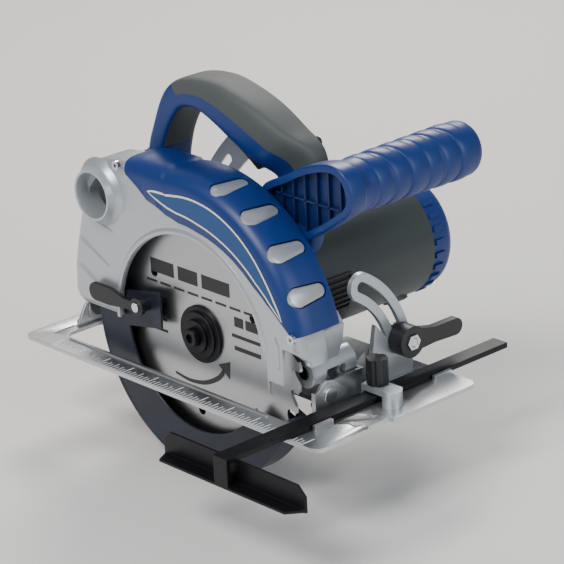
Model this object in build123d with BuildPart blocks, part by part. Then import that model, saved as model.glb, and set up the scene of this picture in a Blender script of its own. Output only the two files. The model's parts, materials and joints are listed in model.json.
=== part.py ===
from build123d import *
import math
import os

os.makedirs("parts", exist_ok=True)

# A corded circular saw, in millimetres. +X is the cutting direction, +Y points to the motor side
# and +Z is up. The origin lies on the sole, below the blade's axis, at the middle of the plate's width.

# Driving dimensions
BLADE_Y = -40.0  # the blade's middle plane
AXLE_Z = 34.0  # height of the blade's axis above the sole at full cutting depth
BLADE_R = 95.0
BLADE_T = 2.4
BLADE_TEETH = 36
BLADE_BORE_R = 10.0

PLATE_BACK, PLATE_FRONT = -155.0, 145.0
PLATE_RIGHT, PLATE_LEFT = -74.5, 72.0
PLATE_T = 3.0
PIVOT_V, PIVOT_Z = 17.0, 13.0  # the bevel axis, measured from the blade's plane and from the sole
PIVOT_R = 3.0
FRONT_EAR_X = 101.0
REAR_EAR_X = -138.0
SHEET_T = 2.0
QUADRANT_X, QUADRANT_T = 93.0, 4.0
BEVEL_R = 72.5  # the bevel bolt's distance from the bevel axis
BEVEL_REST = 13.4  # its angle above the horizontal when the blade is square

HINGE_X, HINGE_Z = 88.0, 26.5  # the depth hinge
HINGE_R = 4.0
DEPTH_R = 161.0  # the depth slot's radius about the depth hinge
DEPTH_ANGLE = 172.0
FIT = 0.06  # radial running clearance

GEAR_TEETH, PINION_TEETH, MODULE = 44, 10, 1.25
GEAR_R, PINION_R = GEAR_TEETH * MODULE / 2, PINION_TEETH * MODULE / 2
MESH_ANGLE = 58.0  # the motor's direction from the axle
MOTOR_X = (GEAR_R + PINION_R) * math.cos(math.radians(MESH_ANGLE))
MOTOR_Z = AXLE_Z + (GEAR_R + PINION_R) * math.sin(math.radians(MESH_ANGLE))
MOTOR_R = 42.0

PORT_X, PORT_Z = -84.0, 118.0
PORT_R, PORT_BORE_R = 17.8, 16.0
GUARD_R = 107.0
COVER_R = 112.5
AUX_X, AUX_Z, AUX_R = 100.0, 147.0, 19.5

FENCE_X, FENCE_W, FENCE_T = 112.5, 13.0, 4.0
FENCE_Z = PLATE_T + 0.4


def across(v):
    """The plane at v from the blade's plane: sketch x is +X, sketch y is +Z, and it extrudes towards -Y."""
    return Plane.XZ.offset(-(BLADE_Y + v))


def polar(x, z, radius, degrees):
    """The point at a radius and an angle about (x, z)."""
    turn = math.radians(degrees)
    return (x + radius * math.cos(turn), z + radius * math.sin(turn))


def wedge(x, z, start, stop, reach=300.0):
    """The corners of a sector about (x, z) from one angle up to another."""
    steps = max(2, int((stop - start) / 40) + 1)
    rim = [polar(x, z, reach, start + (stop - start) * i / steps) for i in range(steps + 1)]
    return [(x, z)] + rim


def toothed(teeth, tip_r, root_r, root_half, tip_half, phase):
    """The outline of a gear with straight-sided teeth, one tooth centred on the phase angle."""
    pitch = 360.0 / teeth
    points = []
    for i in range(teeth):
        middle = phase + i * pitch
        points.append(polar(0, 0, root_r, middle - root_half * pitch))
        points.append(polar(0, 0, tip_r, middle - tip_half * pitch))
        points.append(polar(0, 0, tip_r, middle + tip_half * pitch))
        points.append(polar(0, 0, root_r, middle + root_half * pitch))
    return points


PIVOT_Y = BLADE_Y + PIVOT_V
AXLE = (0, AXLE_Z)
HINGE = (HINGE_X, HINGE_Z)
MOTOR = (MOTOR_X, MOTOR_Z)
PORT = (PORT_X, PORT_Z)
AUX = (AUX_X, AUX_Z)
BEVEL_BOLT = polar(PIVOT_Y, PIVOT_Z, BEVEL_R, BEVEL_REST)
DEPTH_BOLT = polar(HINGE_X, HINGE_Z, DEPTH_R, DEPTH_ANGLE)

# ---------------------------------------------------------------- base
# The pressed steel sole: a slot for the blade and its guard, a ruled strip with a raised lip beside
# it, two lugs that guide the fence bar, and a sight notch in the front edge.
with BuildPart() as base_plate:
    plate_mid = ((PLATE_BACK + PLATE_FRONT) / 2, (PLATE_RIGHT + PLATE_LEFT) / 2)
    with BuildSketch(Plane.XY):
        with Locations(plate_mid):
            RectangleRounded(PLATE_FRONT - PLATE_BACK, PLATE_LEFT - PLATE_RIGHT, 7)
        for slot_front, slot_left, corner in ((86, 22, 8), (98, 15, 10), (103, 3, 9)):
            with Locations(((slot_front - 133) / 2, BLADE_Y + (slot_left - 16) / 2)):
                RectangleRounded(slot_front + 133, slot_left + 16, corner, mode=Mode.SUBTRACT)
        with Locations((-140, BLADE_Y - 10)):
            Rectangle(2.2, 18, mode=Mode.SUBTRACT)
        with Locations((PLATE_FRONT, BLADE_Y + 23)):
            Rectangle(6, 20, mode=Mode.SUBTRACT)
    extrude(amount=PLATE_T)
    with Locations((-20, BLADE_Y - 18.8, PLATE_T + 0.6)):
        Box(204, 2.4, 1.2)
    for lug_v in (-7, 102):
        with Locations((FENCE_X + FENCE_W / 2 + 2.4, BLADE_Y + lug_v, PLATE_T + 2)):
            Box(3, 16, 4)
    with Locations((133, BLADE_Y + 9.5, PLATE_T + 0.4), (130, BLADE_Y + 28, PLATE_T + 0.4)):
        Box(7, 4, 0.8)
base_plate.part.label = "base_plate"
export_step(base_plate.part, "parts/base_plate.step")

# The ear at the front of the slot, folded from sheet: it carries the front bevel rivet.
with BuildPart() as front_ear:
    with BuildSketch(Plane.YZ.offset(FRONT_EAR_X)):
        with BuildLine():
            Polyline((BLADE_Y + 4, PLATE_T), (BLADE_Y + 4, 17), (BLADE_Y + 9, 19))
            ThreePointArc((BLADE_Y + 9, 19), (PIVOT_Y, PIVOT_Z + 10), (BLADE_Y + 25, 19))
            Polyline((BLADE_Y + 25, 19), (BLADE_Y + 32, 13), (BLADE_Y + 32, PLATE_T), (BLADE_Y + 4, PLATE_T))
        make_face()
        with Locations((PIVOT_Y, PIVOT_Z)):
            Circle(PIVOT_R, mode=Mode.SUBTRACT)
    extrude(amount=SHEET_T)
    with Locations((FRONT_EAR_X + SHEET_T - 1.9, BLADE_Y + 5, PLATE_T + 7)):
        Box(3.8, 2, 14)
front_ear.part.label = "front_ear"
export_step(front_ear.part, "parts/front_ear.step")

# The ear bent up behind the slot for the rear bevel rivet.
with BuildPart() as rear_ear:
    with BuildSketch(Plane.YZ.offset(REAR_EAR_X)):
        with BuildLine():
            Polyline((BLADE_Y - 1, PLATE_T), (BLADE_Y + 7, 17), (BLADE_Y + 11, 20))
            ThreePointArc((BLADE_Y + 11, 20), (PIVOT_Y, PIVOT_Z + 9), (BLADE_Y + 23, 20))
            Polyline((BLADE_Y + 23, 20), (BLADE_Y + 30, PLATE_T), (BLADE_Y - 1, PLATE_T))
        make_face()
        with Locations((PIVOT_Y, PIVOT_Z)):
            Circle(PIVOT_R, mode=Mode.SUBTRACT)
    extrude(amount=SHEET_T)
    with Locations((REAR_EAR_X - 3, BLADE_Y + 14.5, PLATE_T + 1)):
        Box(6, 20, 2)
rear_ear.part.label = "rear_ear"
export_step(rear_ear.part, "parts/rear_ear.step")

# The two rivets that the saw tilts on.
with BuildPart() as tilt_rivets:
    for ear_x, inward in ((FRONT_EAR_X, -1), (REAR_EAR_X, 1)):
        outer_face = ear_x + (SHEET_T if inward < 0 else 0)
        with BuildSketch(Plane.YZ.offset(outer_face)):
            with Locations((PIVOT_Y, PIVOT_Z)):
                Circle(5.5)
        extrude(amount=-1.6 * inward)
        with BuildSketch(Plane.YZ.offset(outer_face)):
            with Locations((PIVOT_Y, PIVOT_Z)):
                Circle(PIVOT_R)
        extrude(amount=inward * 4.9)
tilt_rivets.part.label = "tilt_rivets"
export_step(tilt_rivets.part, "parts/tilt_rivets.step")

# The cast bevel quadrant: a foot on the sole and a curved band with the slot for the bevel bolt.
with BuildPart() as bevel_quadrant:
    with BuildSketch(Plane.YZ.offset(QUADRANT_X)):
        with Locations((PIVOT_Y, PIVOT_Z)):
            Circle(BEVEL_R + 10)
            Circle(BEVEL_R - 10, mode=Mode.SUBTRACT)
        Polygon(*wedge(PIVOT_Y, PIVOT_Z, BEVEL_REST + 45, 352), align=None, mode=Mode.SUBTRACT)
        with Locations(polar(PIVOT_Y, PIVOT_Z, BEVEL_R, BEVEL_REST + 45)):
            Circle(10)
        Polygon((BLADE_Y + 62, PLATE_T), (BLADE_Y + 98, PLATE_T), (BLADE_Y + 98, 26),
                (BLADE_Y + 79, 30), (BLADE_Y + 66, 45), (BLADE_Y + 62, 24), align=None)
        slot = [polar(PIVOT_Y, PIVOT_Z, BEVEL_R, BEVEL_REST + 46.4 * i / 2 - 0.8) for i in range(3)]
        with BuildLine(mode=Mode.PRIVATE) as slot_path:
            ThreePointArc(slot[0], slot[1], slot[2])
        SlotArc(slot_path.edges()[0], 7.2, mode=Mode.SUBTRACT)
        with Locations((0, 0)):
            Rectangle(400, 2 * PLATE_T, mode=Mode.SUBTRACT)
    extrude(amount=QUADRANT_T)
    with Locations((QUADRANT_X - 3, BLADE_Y + 80, PLATE_T + 1.5)):
        Box(10, 36, 3)
bevel_quadrant.part.label = "bevel_quadrant"
export_step(bevel_quadrant.part, "parts/bevel_quadrant.step")

# The bridge over the fence bar, bolted to the sole at its front boss and tapped for the fence knob.
CLAMP_V = 51.0
with BuildPart() as fence_clamp:
    with BuildSketch(Plane.XY.offset(PLATE_T)):
        with Locations((129, BLADE_Y + CLAMP_V - 3)):
            Circle(6.8)
    extrude(amount=11)
    with BuildSketch(Plane.XY.offset(FENCE_Z + FENCE_T + 0.8)):
        with Locations(((103.6 + 129) / 2, BLADE_Y + CLAMP_V)):
            Rectangle(129 - 103.6, 13)
        with Locations((FENCE_X, BLADE_Y + CLAMP_V)):
            Circle(3.2, mode=Mode.SUBTRACT)
    extrude(amount=4.4)
    with Locations(((103.6 + 105.4) / 2, BLADE_Y + CLAMP_V, PLATE_T + 5)):
        Box(1.8, 13, 9.4)
fence_clamp.part.label = "fence_clamp"
export_step(fence_clamp.part, "parts/fence_clamp.step")

# ---------------------------------------------------------------- tilting frame
# The front tilting bracket: a sheet arm from the bevel rivet to the bevel bolt, with two lugs that
# reach back into the saw's front knuckle.
BRACKET_X = FRONT_EAR_X - 2.6
ARM_X = QUADRANT_X - 2.6
LUG_V = (23.0, 35.0)
with BuildPart() as tilt_bracket:
    with BuildSketch(Plane.YZ.offset(BRACKET_X)):
        with Locations((PIVOT_Y, PIVOT_Z)):
            Circle(8.4)
        Polygon((PIVOT_Y, 5.2), (BLADE_Y + 50, 5.2), (BLADE_Y + 50, 21.3), (PIVOT_Y, 21.3), align=None)
        with Locations((PIVOT_Y, PIVOT_Z)):
            Circle(PIVOT_R + FIT, mode=Mode.SUBTRACT)
    extrude(amount=2.2)
    with Locations(((ARM_X + BRACKET_X + 2.2) / 2, BLADE_Y + 49, 13.25)):
        Box(BRACKET_X + 2.2 - ARM_X, 2.2, 16.1)
    with BuildSketch(Plane.YZ.offset(ARM_X)):
        Polygon((BLADE_Y + 48, 7), (BLADE_Y + 74, 12), (BLADE_Y + 92, 21.5), (BLADE_Y + 92, 32),
                (BLADE_Y + 84, 38), (BLADE_Y + 48, 21.3), align=None)
        with Locations(BEVEL_BOLT):
            Circle(9)
            Circle(3.02, mode=Mode.SUBTRACT)
    extrude(amount=2.2)
    for lug_v in LUG_V:
        with BuildSketch(across(lug_v)):
            with Locations(HINGE):
                Circle(7.3)
            Polygon((HINGE_X - 6, HINGE_Z - 4), (HINGE_X + 3, 11), (BRACKET_X + 1, 9),
                    (BRACKET_X + 1, 19.5), (HINGE_X + 6, HINGE_Z - 4), align=None)
            with Locations(HINGE):
                Circle(HINGE_R + FIT, mode=Mode.SUBTRACT)
        extrude(amount=3)
tilt_bracket.part.label = "tilt_bracket"
export_step(tilt_bracket.part, "parts/tilt_bracket.step")

# The rear tilting bracket, with the curved steel strip that guides the depth setting.
STRIP_V = 58.0
STRIP_IN, STRIP_OUT = 150.0, 172.0
STRIP_TOP = 125.0
with BuildPart() as depth_guide:
    with BuildSketch(Plane.YZ.offset(REAR_EAR_X + 2.4)):
        with Locations((PIVOT_Y, PIVOT_Z)):
            Circle(8)
        Polygon((PIVOT_Y, 5), (BLADE_Y + STRIP_V, 5), (BLADE_Y + STRIP_V, 21), (PIVOT_Y, 21), align=None)
        with Locations((PIVOT_Y, PIVOT_Z)):
            Circle(PIVOT_R + FIT, mode=Mode.SUBTRACT)
    extrude(amount=2)
    with BuildSketch(across(STRIP_V)):
        with Locations(HINGE):
            Circle(STRIP_OUT)
            Circle(STRIP_IN, mode=Mode.SUBTRACT)
        Polygon(*wedge(HINGE_X, HINGE_Z, 184, 360 + STRIP_TOP, 400), align=None, mode=Mode.SUBTRACT)
        Polygon((REAR_EAR_X + 2.4, 5), (-66, 5), (-62.5, 21), (REAR_EAR_X + 2.4, 21), align=None)
        ends = [polar(HINGE_X, HINGE_Z, DEPTH_R, a) for a in (DEPTH_ANGLE - 34.8, 152, DEPTH_ANGLE + 0.8)]
        with BuildLine(mode=Mode.PRIVATE) as depth_path:
            ThreePointArc(ends[0], ends[1], ends[2])
        SlotArc(depth_path.edges()[0], 6.2, mode=Mode.SUBTRACT)
    extrude(amount=2)
depth_guide.part.label = "depth_guide"
export_step(depth_guide.part, "parts/depth_guide.step")

# The carriage bolt that rides in the quadrant's slot.
with BuildPart() as bevel_bolt:
    with BuildSketch(Plane.YZ.offset(ARM_X - 2.5)):
        with Locations(BEVEL_BOLT):
            Circle(6)
    extrude(amount=2.5)
    with BuildSketch(Plane.YZ.offset(ARM_X)):
        with Locations(BEVEL_BOLT):
            Circle(3)
    extrude(amount=20.5)
bevel_bolt.part.label = "bevel_bolt"
export_step(bevel_bolt.part, "parts/bevel_bolt.step")

# The bevel clamping lever: a round hub and a flat paddle, with its hexagon nut let in.
LEVER_X = QUADRANT_X + QUADRANT_T + 0.6
with BuildPart() as bevel_lever:
    with BuildSketch(Plane.YZ.offset(LEVER_X)):
        with Locations(BEVEL_BOLT):
            Circle(11)
    extrude(amount=12)
    with BuildSketch(Plane.YZ.offset(LEVER_X + 5)):
        tip = (BEVEL_BOLT[0] + 42, BEVEL_BOLT[1] - 2)
        with BuildLine():
            Polyline((BEVEL_BOLT[0] + 4, BEVEL_BOLT[1] + 8), (tip[0] - 20, tip[1] + 6), (tip[0], tip[1] + 6))
            ThreePointArc((tip[0], tip[1] + 6), (tip[0] + 6, tip[1]), (tip[0], tip[1] - 6))
            Polyline((tip[0], tip[1] - 6), (tip[0] - 20, tip[1] - 5), (BEVEL_BOLT[0] + 4, BEVEL_BOLT[1] - 8),
                     (BEVEL_BOLT[0] + 4, BEVEL_BOLT[1] + 8))
        make_face()
    extrude(amount=6)
    with BuildSketch(Plane.YZ.offset(LEVER_X)):
        with Locations(BEVEL_BOLT):
            Circle(3 + FIT)
    extrude(amount=12, mode=Mode.SUBTRACT)
    with BuildSketch(Plane.YZ.offset(LEVER_X + 8)):
        with Locations(BEVEL_BOLT):
            RegularPolygon(6.0, 6)
    extrude(amount=4, mode=Mode.SUBTRACT)
bevel_lever.part.label = "bevel_lever"
export_step(bevel_lever.part, "parts/bevel_lever.step")

with BuildPart() as bevel_nut:
    with BuildSketch(Plane.YZ.offset(LEVER_X + 8)):
        with Locations(BEVEL_BOLT):
            RegularPolygon(5.9, 6)
            Circle(3 + FIT, mode=Mode.SUBTRACT)
    extrude(amount=5.5)
bevel_nut.part.label = "bevel_nut"
export_step(bevel_nut.part, "parts/bevel_nut.step")

# ---------------------------------------------------------------- saw head: castings
# The aluminium upper guard with its dust port, bearing boss, depth boss and the front knuckle.
FACE_V, BACK_V, SHELF_V = -13.0, 14.5, 22.8
NECK_NEAR_V, NECK_FAR_V = 12.0, 32.0
OPENING_R = 72.4
HEAD_OUTLINE = [(-40, 31), (-112, 31), (-121, 40), (-120, 58), (-115, 76), (-108, 98), (-107.5, 121),
                (-101, 135), (-84, 142), (-60, 145), (-31, 141.5), (-27.5, 137), (0, 140), (0, AXLE_Z)]
with BuildPart() as upper_guard:
    with BuildSketch(across(BACK_V)):
        with Locations(AXLE):
            Circle(GUARD_R)
        Polygon(*HEAD_OUTLINE, align=None)
        Polygon((-125, 31), (-60, 31), (-50, 10), (78, 10), (78, 25.5), (98, 25.5), (101, 34), (112, 38),
                (130, 34), (130, -90), (-125, -90), align=None, mode=Mode.SUBTRACT)
    extrude(amount=BACK_V - FACE_V)
    # the shelf that carries the cover on the motor side
    with BuildSketch(across(SHELF_V)):
        with Locations(AXLE):
            Circle(GUARD_R)
            Circle(GUARD_R - 8, mode=Mode.SUBTRACT)
        Polygon(*wedge(0, AXLE_Z, 118, 380), align=None, mode=Mode.SUBTRACT)
    extrude(amount=SHELF_V - BACK_V)
    # room for the blade, the lower guard and the dust
    with BuildSketch(across(BACK_V - 2.5)):
        with Locations(AXLE):
            Circle(GUARD_R - 6)
        Polygon((-60, 50), (-113, 44), (-112, 60), (-101, 98), (-99, 118), (-84, 134), (-60, 137),
                (-20, 120), align=None)
        Polygon((-101, 40), (97.5, 40), (97.5, -90), (-101, -90), align=None)
    extrude(amount=BACK_V - 2.5 - (FACE_V + 2.5), mode=Mode.SUBTRACT)
    # the window in the outer face
    with BuildSketch(across(0)):
        with Locations((2, AXLE_Z)):
            Circle(OPENING_R)
        Polygon((-69, 40), (77, 40), (77, -90), (-69, -90), align=None)
    extrude(amount=20, mode=Mode.SUBTRACT)
    # the blade leaves the foot at the front, and the knuckle stays open to view
    with BuildSketch(across(BACK_V + 0.1)):
        Polygon((84, 10), (84, 60), (120, 60), (120, 10), align=None)
    extrude(amount=BACK_V + 2.1, mode=Mode.SUBTRACT)
    # the foot's outer corner is taken off, so that it clears the sole when tilted
    with BuildSketch(Plane.YZ.offset(92)):
        Polygon((BLADE_Y - 14, 20), (BLADE_Y - 14, 52), (BLADE_Y - 1, 41), (BLADE_Y - 1, 20), align=None)
    extrude(amount=25, mode=Mode.SUBTRACT)
    # dust port
    with BuildSketch(across(FACE_V + 1)):
        with Locations(PORT):
            Circle(PORT_R)
    extrude(amount=9)
    with BuildSketch(across(FACE_V + 2.6)):
        with Locations(PORT):
            Circle(PORT_BORE_R)
    extrude(amount=20, mode=Mode.SUBTRACT)
    # front neck and knuckle
    with BuildSketch(across(NECK_FAR_V)):
        Polygon((82, 34), (96, 34), (101, 46), (103, 58), (97, 66), (82, 60), align=None)
    extrude(amount=NECK_FAR_V - NECK_NEAR_V)
    with BuildSketch(across(46)):
        with Locations(HINGE):
            Circle(10.6)
    extrude(amount=37)
    with BuildSketch(across(36)):
        with Locations(HINGE):
            Circle(8.2)
        Polygon((HINGE_X - 8, HINGE_Z), (HINGE_X - 14, HINGE_Z - 14), (HINGE_X + 14, HINGE_Z - 14),
                (HINGE_X + 14, HINGE_Z + 2), (HINGE_X + 8, HINGE_Z + 2), align=None)
    extrude(amount=17, mode=Mode.SUBTRACT)
    with BuildSketch(across(46)):
        with Locations(HINGE):
            Circle(HINGE_R)
    extrude(amount=37, mode=Mode.SUBTRACT)
    with BuildSketch(across(14)):
        with Locations(HINGE):
            Circle(6.4)
    extrude(amount=6, mode=Mode.SUBTRACT)
    # bearing boss
    with BuildSketch(across(19)):
        with Locations(AXLE):
            Circle(24)
    extrude(amount=16.4)
    with BuildSketch(across(19)):
        with Locations(AXLE):
            Circle(16)
    extrude(amount=9, mode=Mode.SUBTRACT)
    with BuildSketch(across(10)):
        with Locations(AXLE):
            Circle(12)
    extrude(amount=8, mode=Mode.SUBTRACT)
    with BuildSketch(across(5.6)):
        with Locations(AXLE):
            Circle(20.5)
    extrude(amount=8, mode=Mode.SUBTRACT)
    with BuildSketch(across(4.2)):
        with Locations(AXLE):
            Circle(24.5)
            Circle(23.2, mode=Mode.SUBTRACT)
    extrude(amount=1.2, mode=Mode.SUBTRACT)
    # depth boss
    with BuildSketch(across(STRIP_V - 2.4)):
        with Locations(DEPTH_BOLT):
            Circle(8)
    extrude(amount=STRIP_V - 2.4 - BACK_V + 1)
    with BuildSketch(across(STRIP_V - 2.4)):
        with Locations(DEPTH_BOLT):
            Circle(2.9)
    extrude(amount=30, mode=Mode.SUBTRACT)
upper_guard.part.label = "upper_guard"
export_step(upper_guard.part, "parts/upper_guard.step")

# The moulded cover that straddles the guard: a rounded roof with four windows and a side band.
WINDOW_ANGLES = (72, 57, 42, 27)
BAND_EDGE = [(-57, 139), (-30, 123), (0, 115), (30, 110), (60, 95.5), (85, 76), (106, 60)]
with BuildPart() as guard_cover:
    with BuildSketch(across(SHELF_V + 0.2)):
        with Locations(AXLE):
            Circle(COVER_R)
            Circle(GUARD_R + 0.3, mode=Mode.SUBTRACT)
        Polygon(*wedge(0, AXLE_Z, 105, 374), align=None, mode=Mode.SUBTRACT)
        Polygon((-30, 142.2), (-60, 145.8), (-84, 142.8), (-90, 141.6), (-90, 147), (-62, 151.5),
                (-29, 148), (-25, 142.5), align=None)
    extrude(amount=SHELF_V + 0.2 - FACE_V)
    with BuildSketch(across(FACE_V)):
        with BuildLine():
            Spline(*BAND_EDGE)
            Line(BAND_EDGE[-1], polar(0, AXLE_Z, COVER_R, 14))
            ThreePointArc(polar(0, AXLE_Z, COVER_R, 14), polar(0, AXLE_Z, COVER_R, 60),
                          polar(0, AXLE_Z, COVER_R, 105))
            Polyline(polar(0, AXLE_Z, COVER_R, 105), (-60, 150.5), BAND_EDGE[0])
        make_face()
    extrude(amount=2.3)
    for angle in WINDOW_ANGLES:
        middle = polar(0, AXLE_Z, GUARD_R + 3, angle)
        cutter = Plane(origin=(middle[0], BLADE_Y + 5, middle[1]), x_dir=(0, 1, 0),
                       z_dir=(math.cos(math.radians(angle)), 0, math.sin(math.radians(angle))))
        with BuildSketch(cutter):
            SlotOverall(30, 8.5)
        extrude(amount=12, both=True, mode=Mode.SUBTRACT)
guard_cover.part.label = "guard_cover"
export_step(guard_cover.part, "parts/guard_cover.step")

# Two socket screws through the cover's ends.
with BuildPart() as cover_screws:
    for spot in ((-60.5, 143.5), (105.5, 62.5)):
        with BuildSketch(across(FACE_V - 2.3)):
            with Locations(spot):
                Circle(3.2)
                RegularPolygon(1.5, 6, mode=Mode.SUBTRACT)
        extrude(amount=2.6)
cover_screws.part.label = "cover_screws"
export_step(cover_screws.part, "parts/cover_screws.step")

# The spindle lock's pin runs between the front bearing and the gear.
LOCK_V, LOCK_R = 22.6, 2.5

# The gear case: a cup round the gear pair, closed by the wall that seats both rear bearings.
with BuildPart() as gear_case:
    with BuildSketch(across(46)):
        with Locations(AXLE):
            Circle(GEAR_R + 4)
        with Locations(MOTOR):
            Circle(MOTOR_R)
        with Locations((0, PLATE_T + 0.9)):
            Rectangle(100, 20, align=(Align.CENTER, Align.MAX), mode=Mode.SUBTRACT)
    extrude(amount=22)
    with BuildSketch(across(24)):
        with Locations(AXLE):
            Circle(28.4)
        with Locations(MOTOR):
            Circle(20)
    extrude(amount=24 - BACK_V)
    with BuildSketch(across(37)):
        with Locations(AXLE):
            Circle(GEAR_R + 1.6)
        with Locations(MOTOR):
            Circle(9)
    extrude(amount=12, mode=Mode.SUBTRACT)
    with BuildSketch(across(25.2)):
        with Locations(AXLE):
            Circle(20)
    extrude(amount=5.6, mode=Mode.SUBTRACT)
    with BuildSketch(across(19.6)):
        with Locations(AXLE):
            Circle(24.02)
    extrude(amount=10, mode=Mode.SUBTRACT)
    with BuildSketch(across(46)):
        with Locations(AXLE):
            Circle(11)
        with Locations(MOTOR):
            Circle(11)
    extrude(amount=9, mode=Mode.SUBTRACT)
    with BuildSketch(Plane.YZ.offset(-42)):
        with Locations((BLADE_Y + LOCK_V, AXLE_Z)):
            Circle(5.4)
    extrude(amount=12.5)
    with BuildSketch(Plane.YZ.offset(-42)):
        with Locations((BLADE_Y + LOCK_V, AXLE_Z)):
            Circle(LOCK_R + FIT)
    extrude(amount=31, mode=Mode.SUBTRACT)
gear_case.part.label = "gear_case"
export_step(gear_case.part, "parts/gear_case.step")

# The motor housing: a plain tube with cooling slots near the gear case and seats for the brush caps.
HOUSING_END_V = 160.0
BRUSH_V, BRUSH_ANGLES = 144.0, (115, 295)


def brush_plane(facing, radius):
    """A plane square to the motor's radius at an angle, for the brushes and their caps."""
    spot = polar(MOTOR_X, MOTOR_Z, radius, facing)
    turn = math.radians(facing)
    return Plane(origin=(spot[0], BLADE_Y + BRUSH_V, spot[1]), x_dir=(0, 1, 0),
                 z_dir=(math.cos(turn), 0, math.sin(turn)))


with BuildPart() as motor_housing:
    with BuildSketch(across(HOUSING_END_V)):
        with Locations(MOTOR):
            Circle(MOTOR_R)
            Circle(MOTOR_R - 2.5, mode=Mode.SUBTRACT)
    extrude(amount=HOUSING_END_V - 46)
    for angle in (-50, -38, -26, -14, -2, 182, 194, 206, 218, 230):
        foot = polar(MOTOR_X, MOTOR_Z, MOTOR_R, angle)
        slot_plane = Plane(origin=(foot[0], BLADE_Y + 57, foot[1]), x_dir=(0, 1, 0),
                           z_dir=(math.cos(math.radians(angle)), 0, math.sin(math.radians(angle))))
        with BuildSketch(slot_plane):
            SlotOverall(14, 3.4)
        extrude(amount=6, both=True, mode=Mode.SUBTRACT)
    for facing in BRUSH_ANGLES:
        with BuildSketch(brush_plane(facing, MOTOR_R - 6)):
            Circle(9)
        extrude(amount=7.5)
        with BuildSketch(brush_plane(facing, MOTOR_R - 6)):
            Circle(7)
        extrude(amount=9, both=True, mode=Mode.SUBTRACT)
motor_housing.part.label = "motor_housing"
export_step(motor_housing.part, "parts/motor_housing.step")

# The domed end cap with its air slots and the seat for the rear armature bearing.
CAP_V = 182.0
with BuildPart() as end_cap:
    with BuildSketch(across(CAP_V)):
        with Locations(MOTOR):
            Circle(MOTOR_R - 1)
    extrude(amount=CAP_V - HOUSING_END_V - 0.1)
    fillet(end_cap.faces().sort_by(Axis.Y)[-1].edges(), 9)
    with BuildSketch(across(CAP_V - 3)):
        with Locations(MOTOR):
            Circle(MOTOR_R - 4)
    extrude(amount=CAP_V - 3 - HOUSING_END_V - 2.6, mode=Mode.SUBTRACT)
    with BuildSketch(across(HOUSING_END_V + 3)):
        with Locations(MOTOR):
            Circle(10)
            with PolarLocations(22, 6):
                Circle(8)
    extrude(amount=6, mode=Mode.SUBTRACT)
    with BuildSketch(across(HOUSING_END_V + 9)):
        with Locations(MOTOR):
            Circle(12.5)
            Circle(10, mode=Mode.SUBTRACT)
    extrude(amount=8.9)
    for row in range(-3, 4):
        with Locations((MOTOR_X, BLADE_Y + CAP_V, MOTOR_Z + 6 * row)):
            Box(46, 8, 2.6, mode=Mode.SUBTRACT)
end_cap.part.label = "end_cap"
export_step(end_cap.part, "parts/end_cap.step")

# ---------------------------------------------------------------- saw head: handles
GRIP_MID_V, GRIP_NEAR_V, GRIP_FAR_V = 38.5, 23.4, 54.0
HANDLE_OUT = [(-58, 103), (-88, 128), (-82, 143), (-65, 180), (-57, 191), (-40, 197.5), (-20, 199.5),
              (0, 198), (30, 189), (60, 174), (78, 162), (78, 118), (60, 84), (-26, 86)]
HANDLE_IN = [(-60, 127), (-57, 147), (-44, 170), (-36, 177), (-24, 177.5), (-8, 171), (17, 158),
             (35, 145), (40, 136), (36, 125), (20, 119), (-40, 119)]


def handle_sketch():
    """The side view of the loop handle, clear of the gear case and motor below it."""
    Polygon(*HANDLE_OUT, align=None)
    Polygon(*HANDLE_IN, align=None, mode=Mode.SUBTRACT)
    with Locations(MOTOR):
        Circle(MOTOR_R + 0.02, mode=Mode.SUBTRACT)


def handle_rooms():
    """The rooms inside the two handle shells: for the switch and trigger, and for the cord."""
    Polygon((-22, 194), (-22, 180), (-8, 180), (-8, 164), (20, 146), (32, 140), (36, 160), (30, 184),
            (4, 193.5), align=None)
    with Locations((-78, 130)):
        Rectangle(24, 13.2)


# The blade-side shell, cut back where the auxiliary handle's root lies against it.
with BuildPart() as handle_right:
    with BuildSketch(across(GRIP_MID_V)):
        handle_sketch()
    extrude(amount=GRIP_MID_V - GRIP_NEAR_V)
    with BuildSketch(across(GRIP_MID_V - 1.9)):
        Polygon((36, 100), (90, 100), (90, 170), (62, 176), (36, 139), align=None)
    extrude(amount=30, mode=Mode.SUBTRACT)
    with BuildSketch(across(GRIP_MID_V)):
        handle_rooms()
    extrude(amount=8.5, mode=Mode.SUBTRACT)
handle_right.part.label = "handle_right"
export_step(handle_right.part, "parts/handle_right.step")

# The motor-side shell, with the hole for the lock-off button.
LOCK_X, LOCK_Z = 22.0, 178.0
with BuildPart() as handle_left:
    with BuildSketch(across(GRIP_FAR_V)):
        handle_sketch()
    extrude(amount=GRIP_FAR_V - GRIP_MID_V)
    with BuildSketch(across(GRIP_MID_V + 8.5)):
        handle_rooms()
    extrude(amount=9, mode=Mode.SUBTRACT)
    with BuildSketch(across(GRIP_FAR_V)):
        with Locations((LOCK_X, LOCK_Z)):
            Circle(5.05)
    extrude(amount=8, mode=Mode.SUBTRACT)
handle_left.part.label = "handle_left"
export_step(handle_left.part, "parts/handle_left.step")

# The soft grip moulded over the handle's back.
with BuildPart() as soft_grip:
    with BuildSketch(across(GRIP_FAR_V - 3)):
        Polygon((-82, 145), (-65, 182.5), (-57, 193.5), (-40, 200), (-20, 202), (0, 200.5), (30, 191.5),
                (60, 176.5), (75.9, 166), (75.9, 163.42), (60, 174.02), (30, 189), (0, 198), (-20, 199.5),
                (-40, 197.5), (-57, 191), (-65, 180.05), (-80.5, 146.4), align=None)
    extrude(amount=GRIP_FAR_V - GRIP_NEAR_V - 6)
soft_grip.part.label = "soft_grip"
export_step(soft_grip.part, "parts/soft_grip.step")

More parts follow.
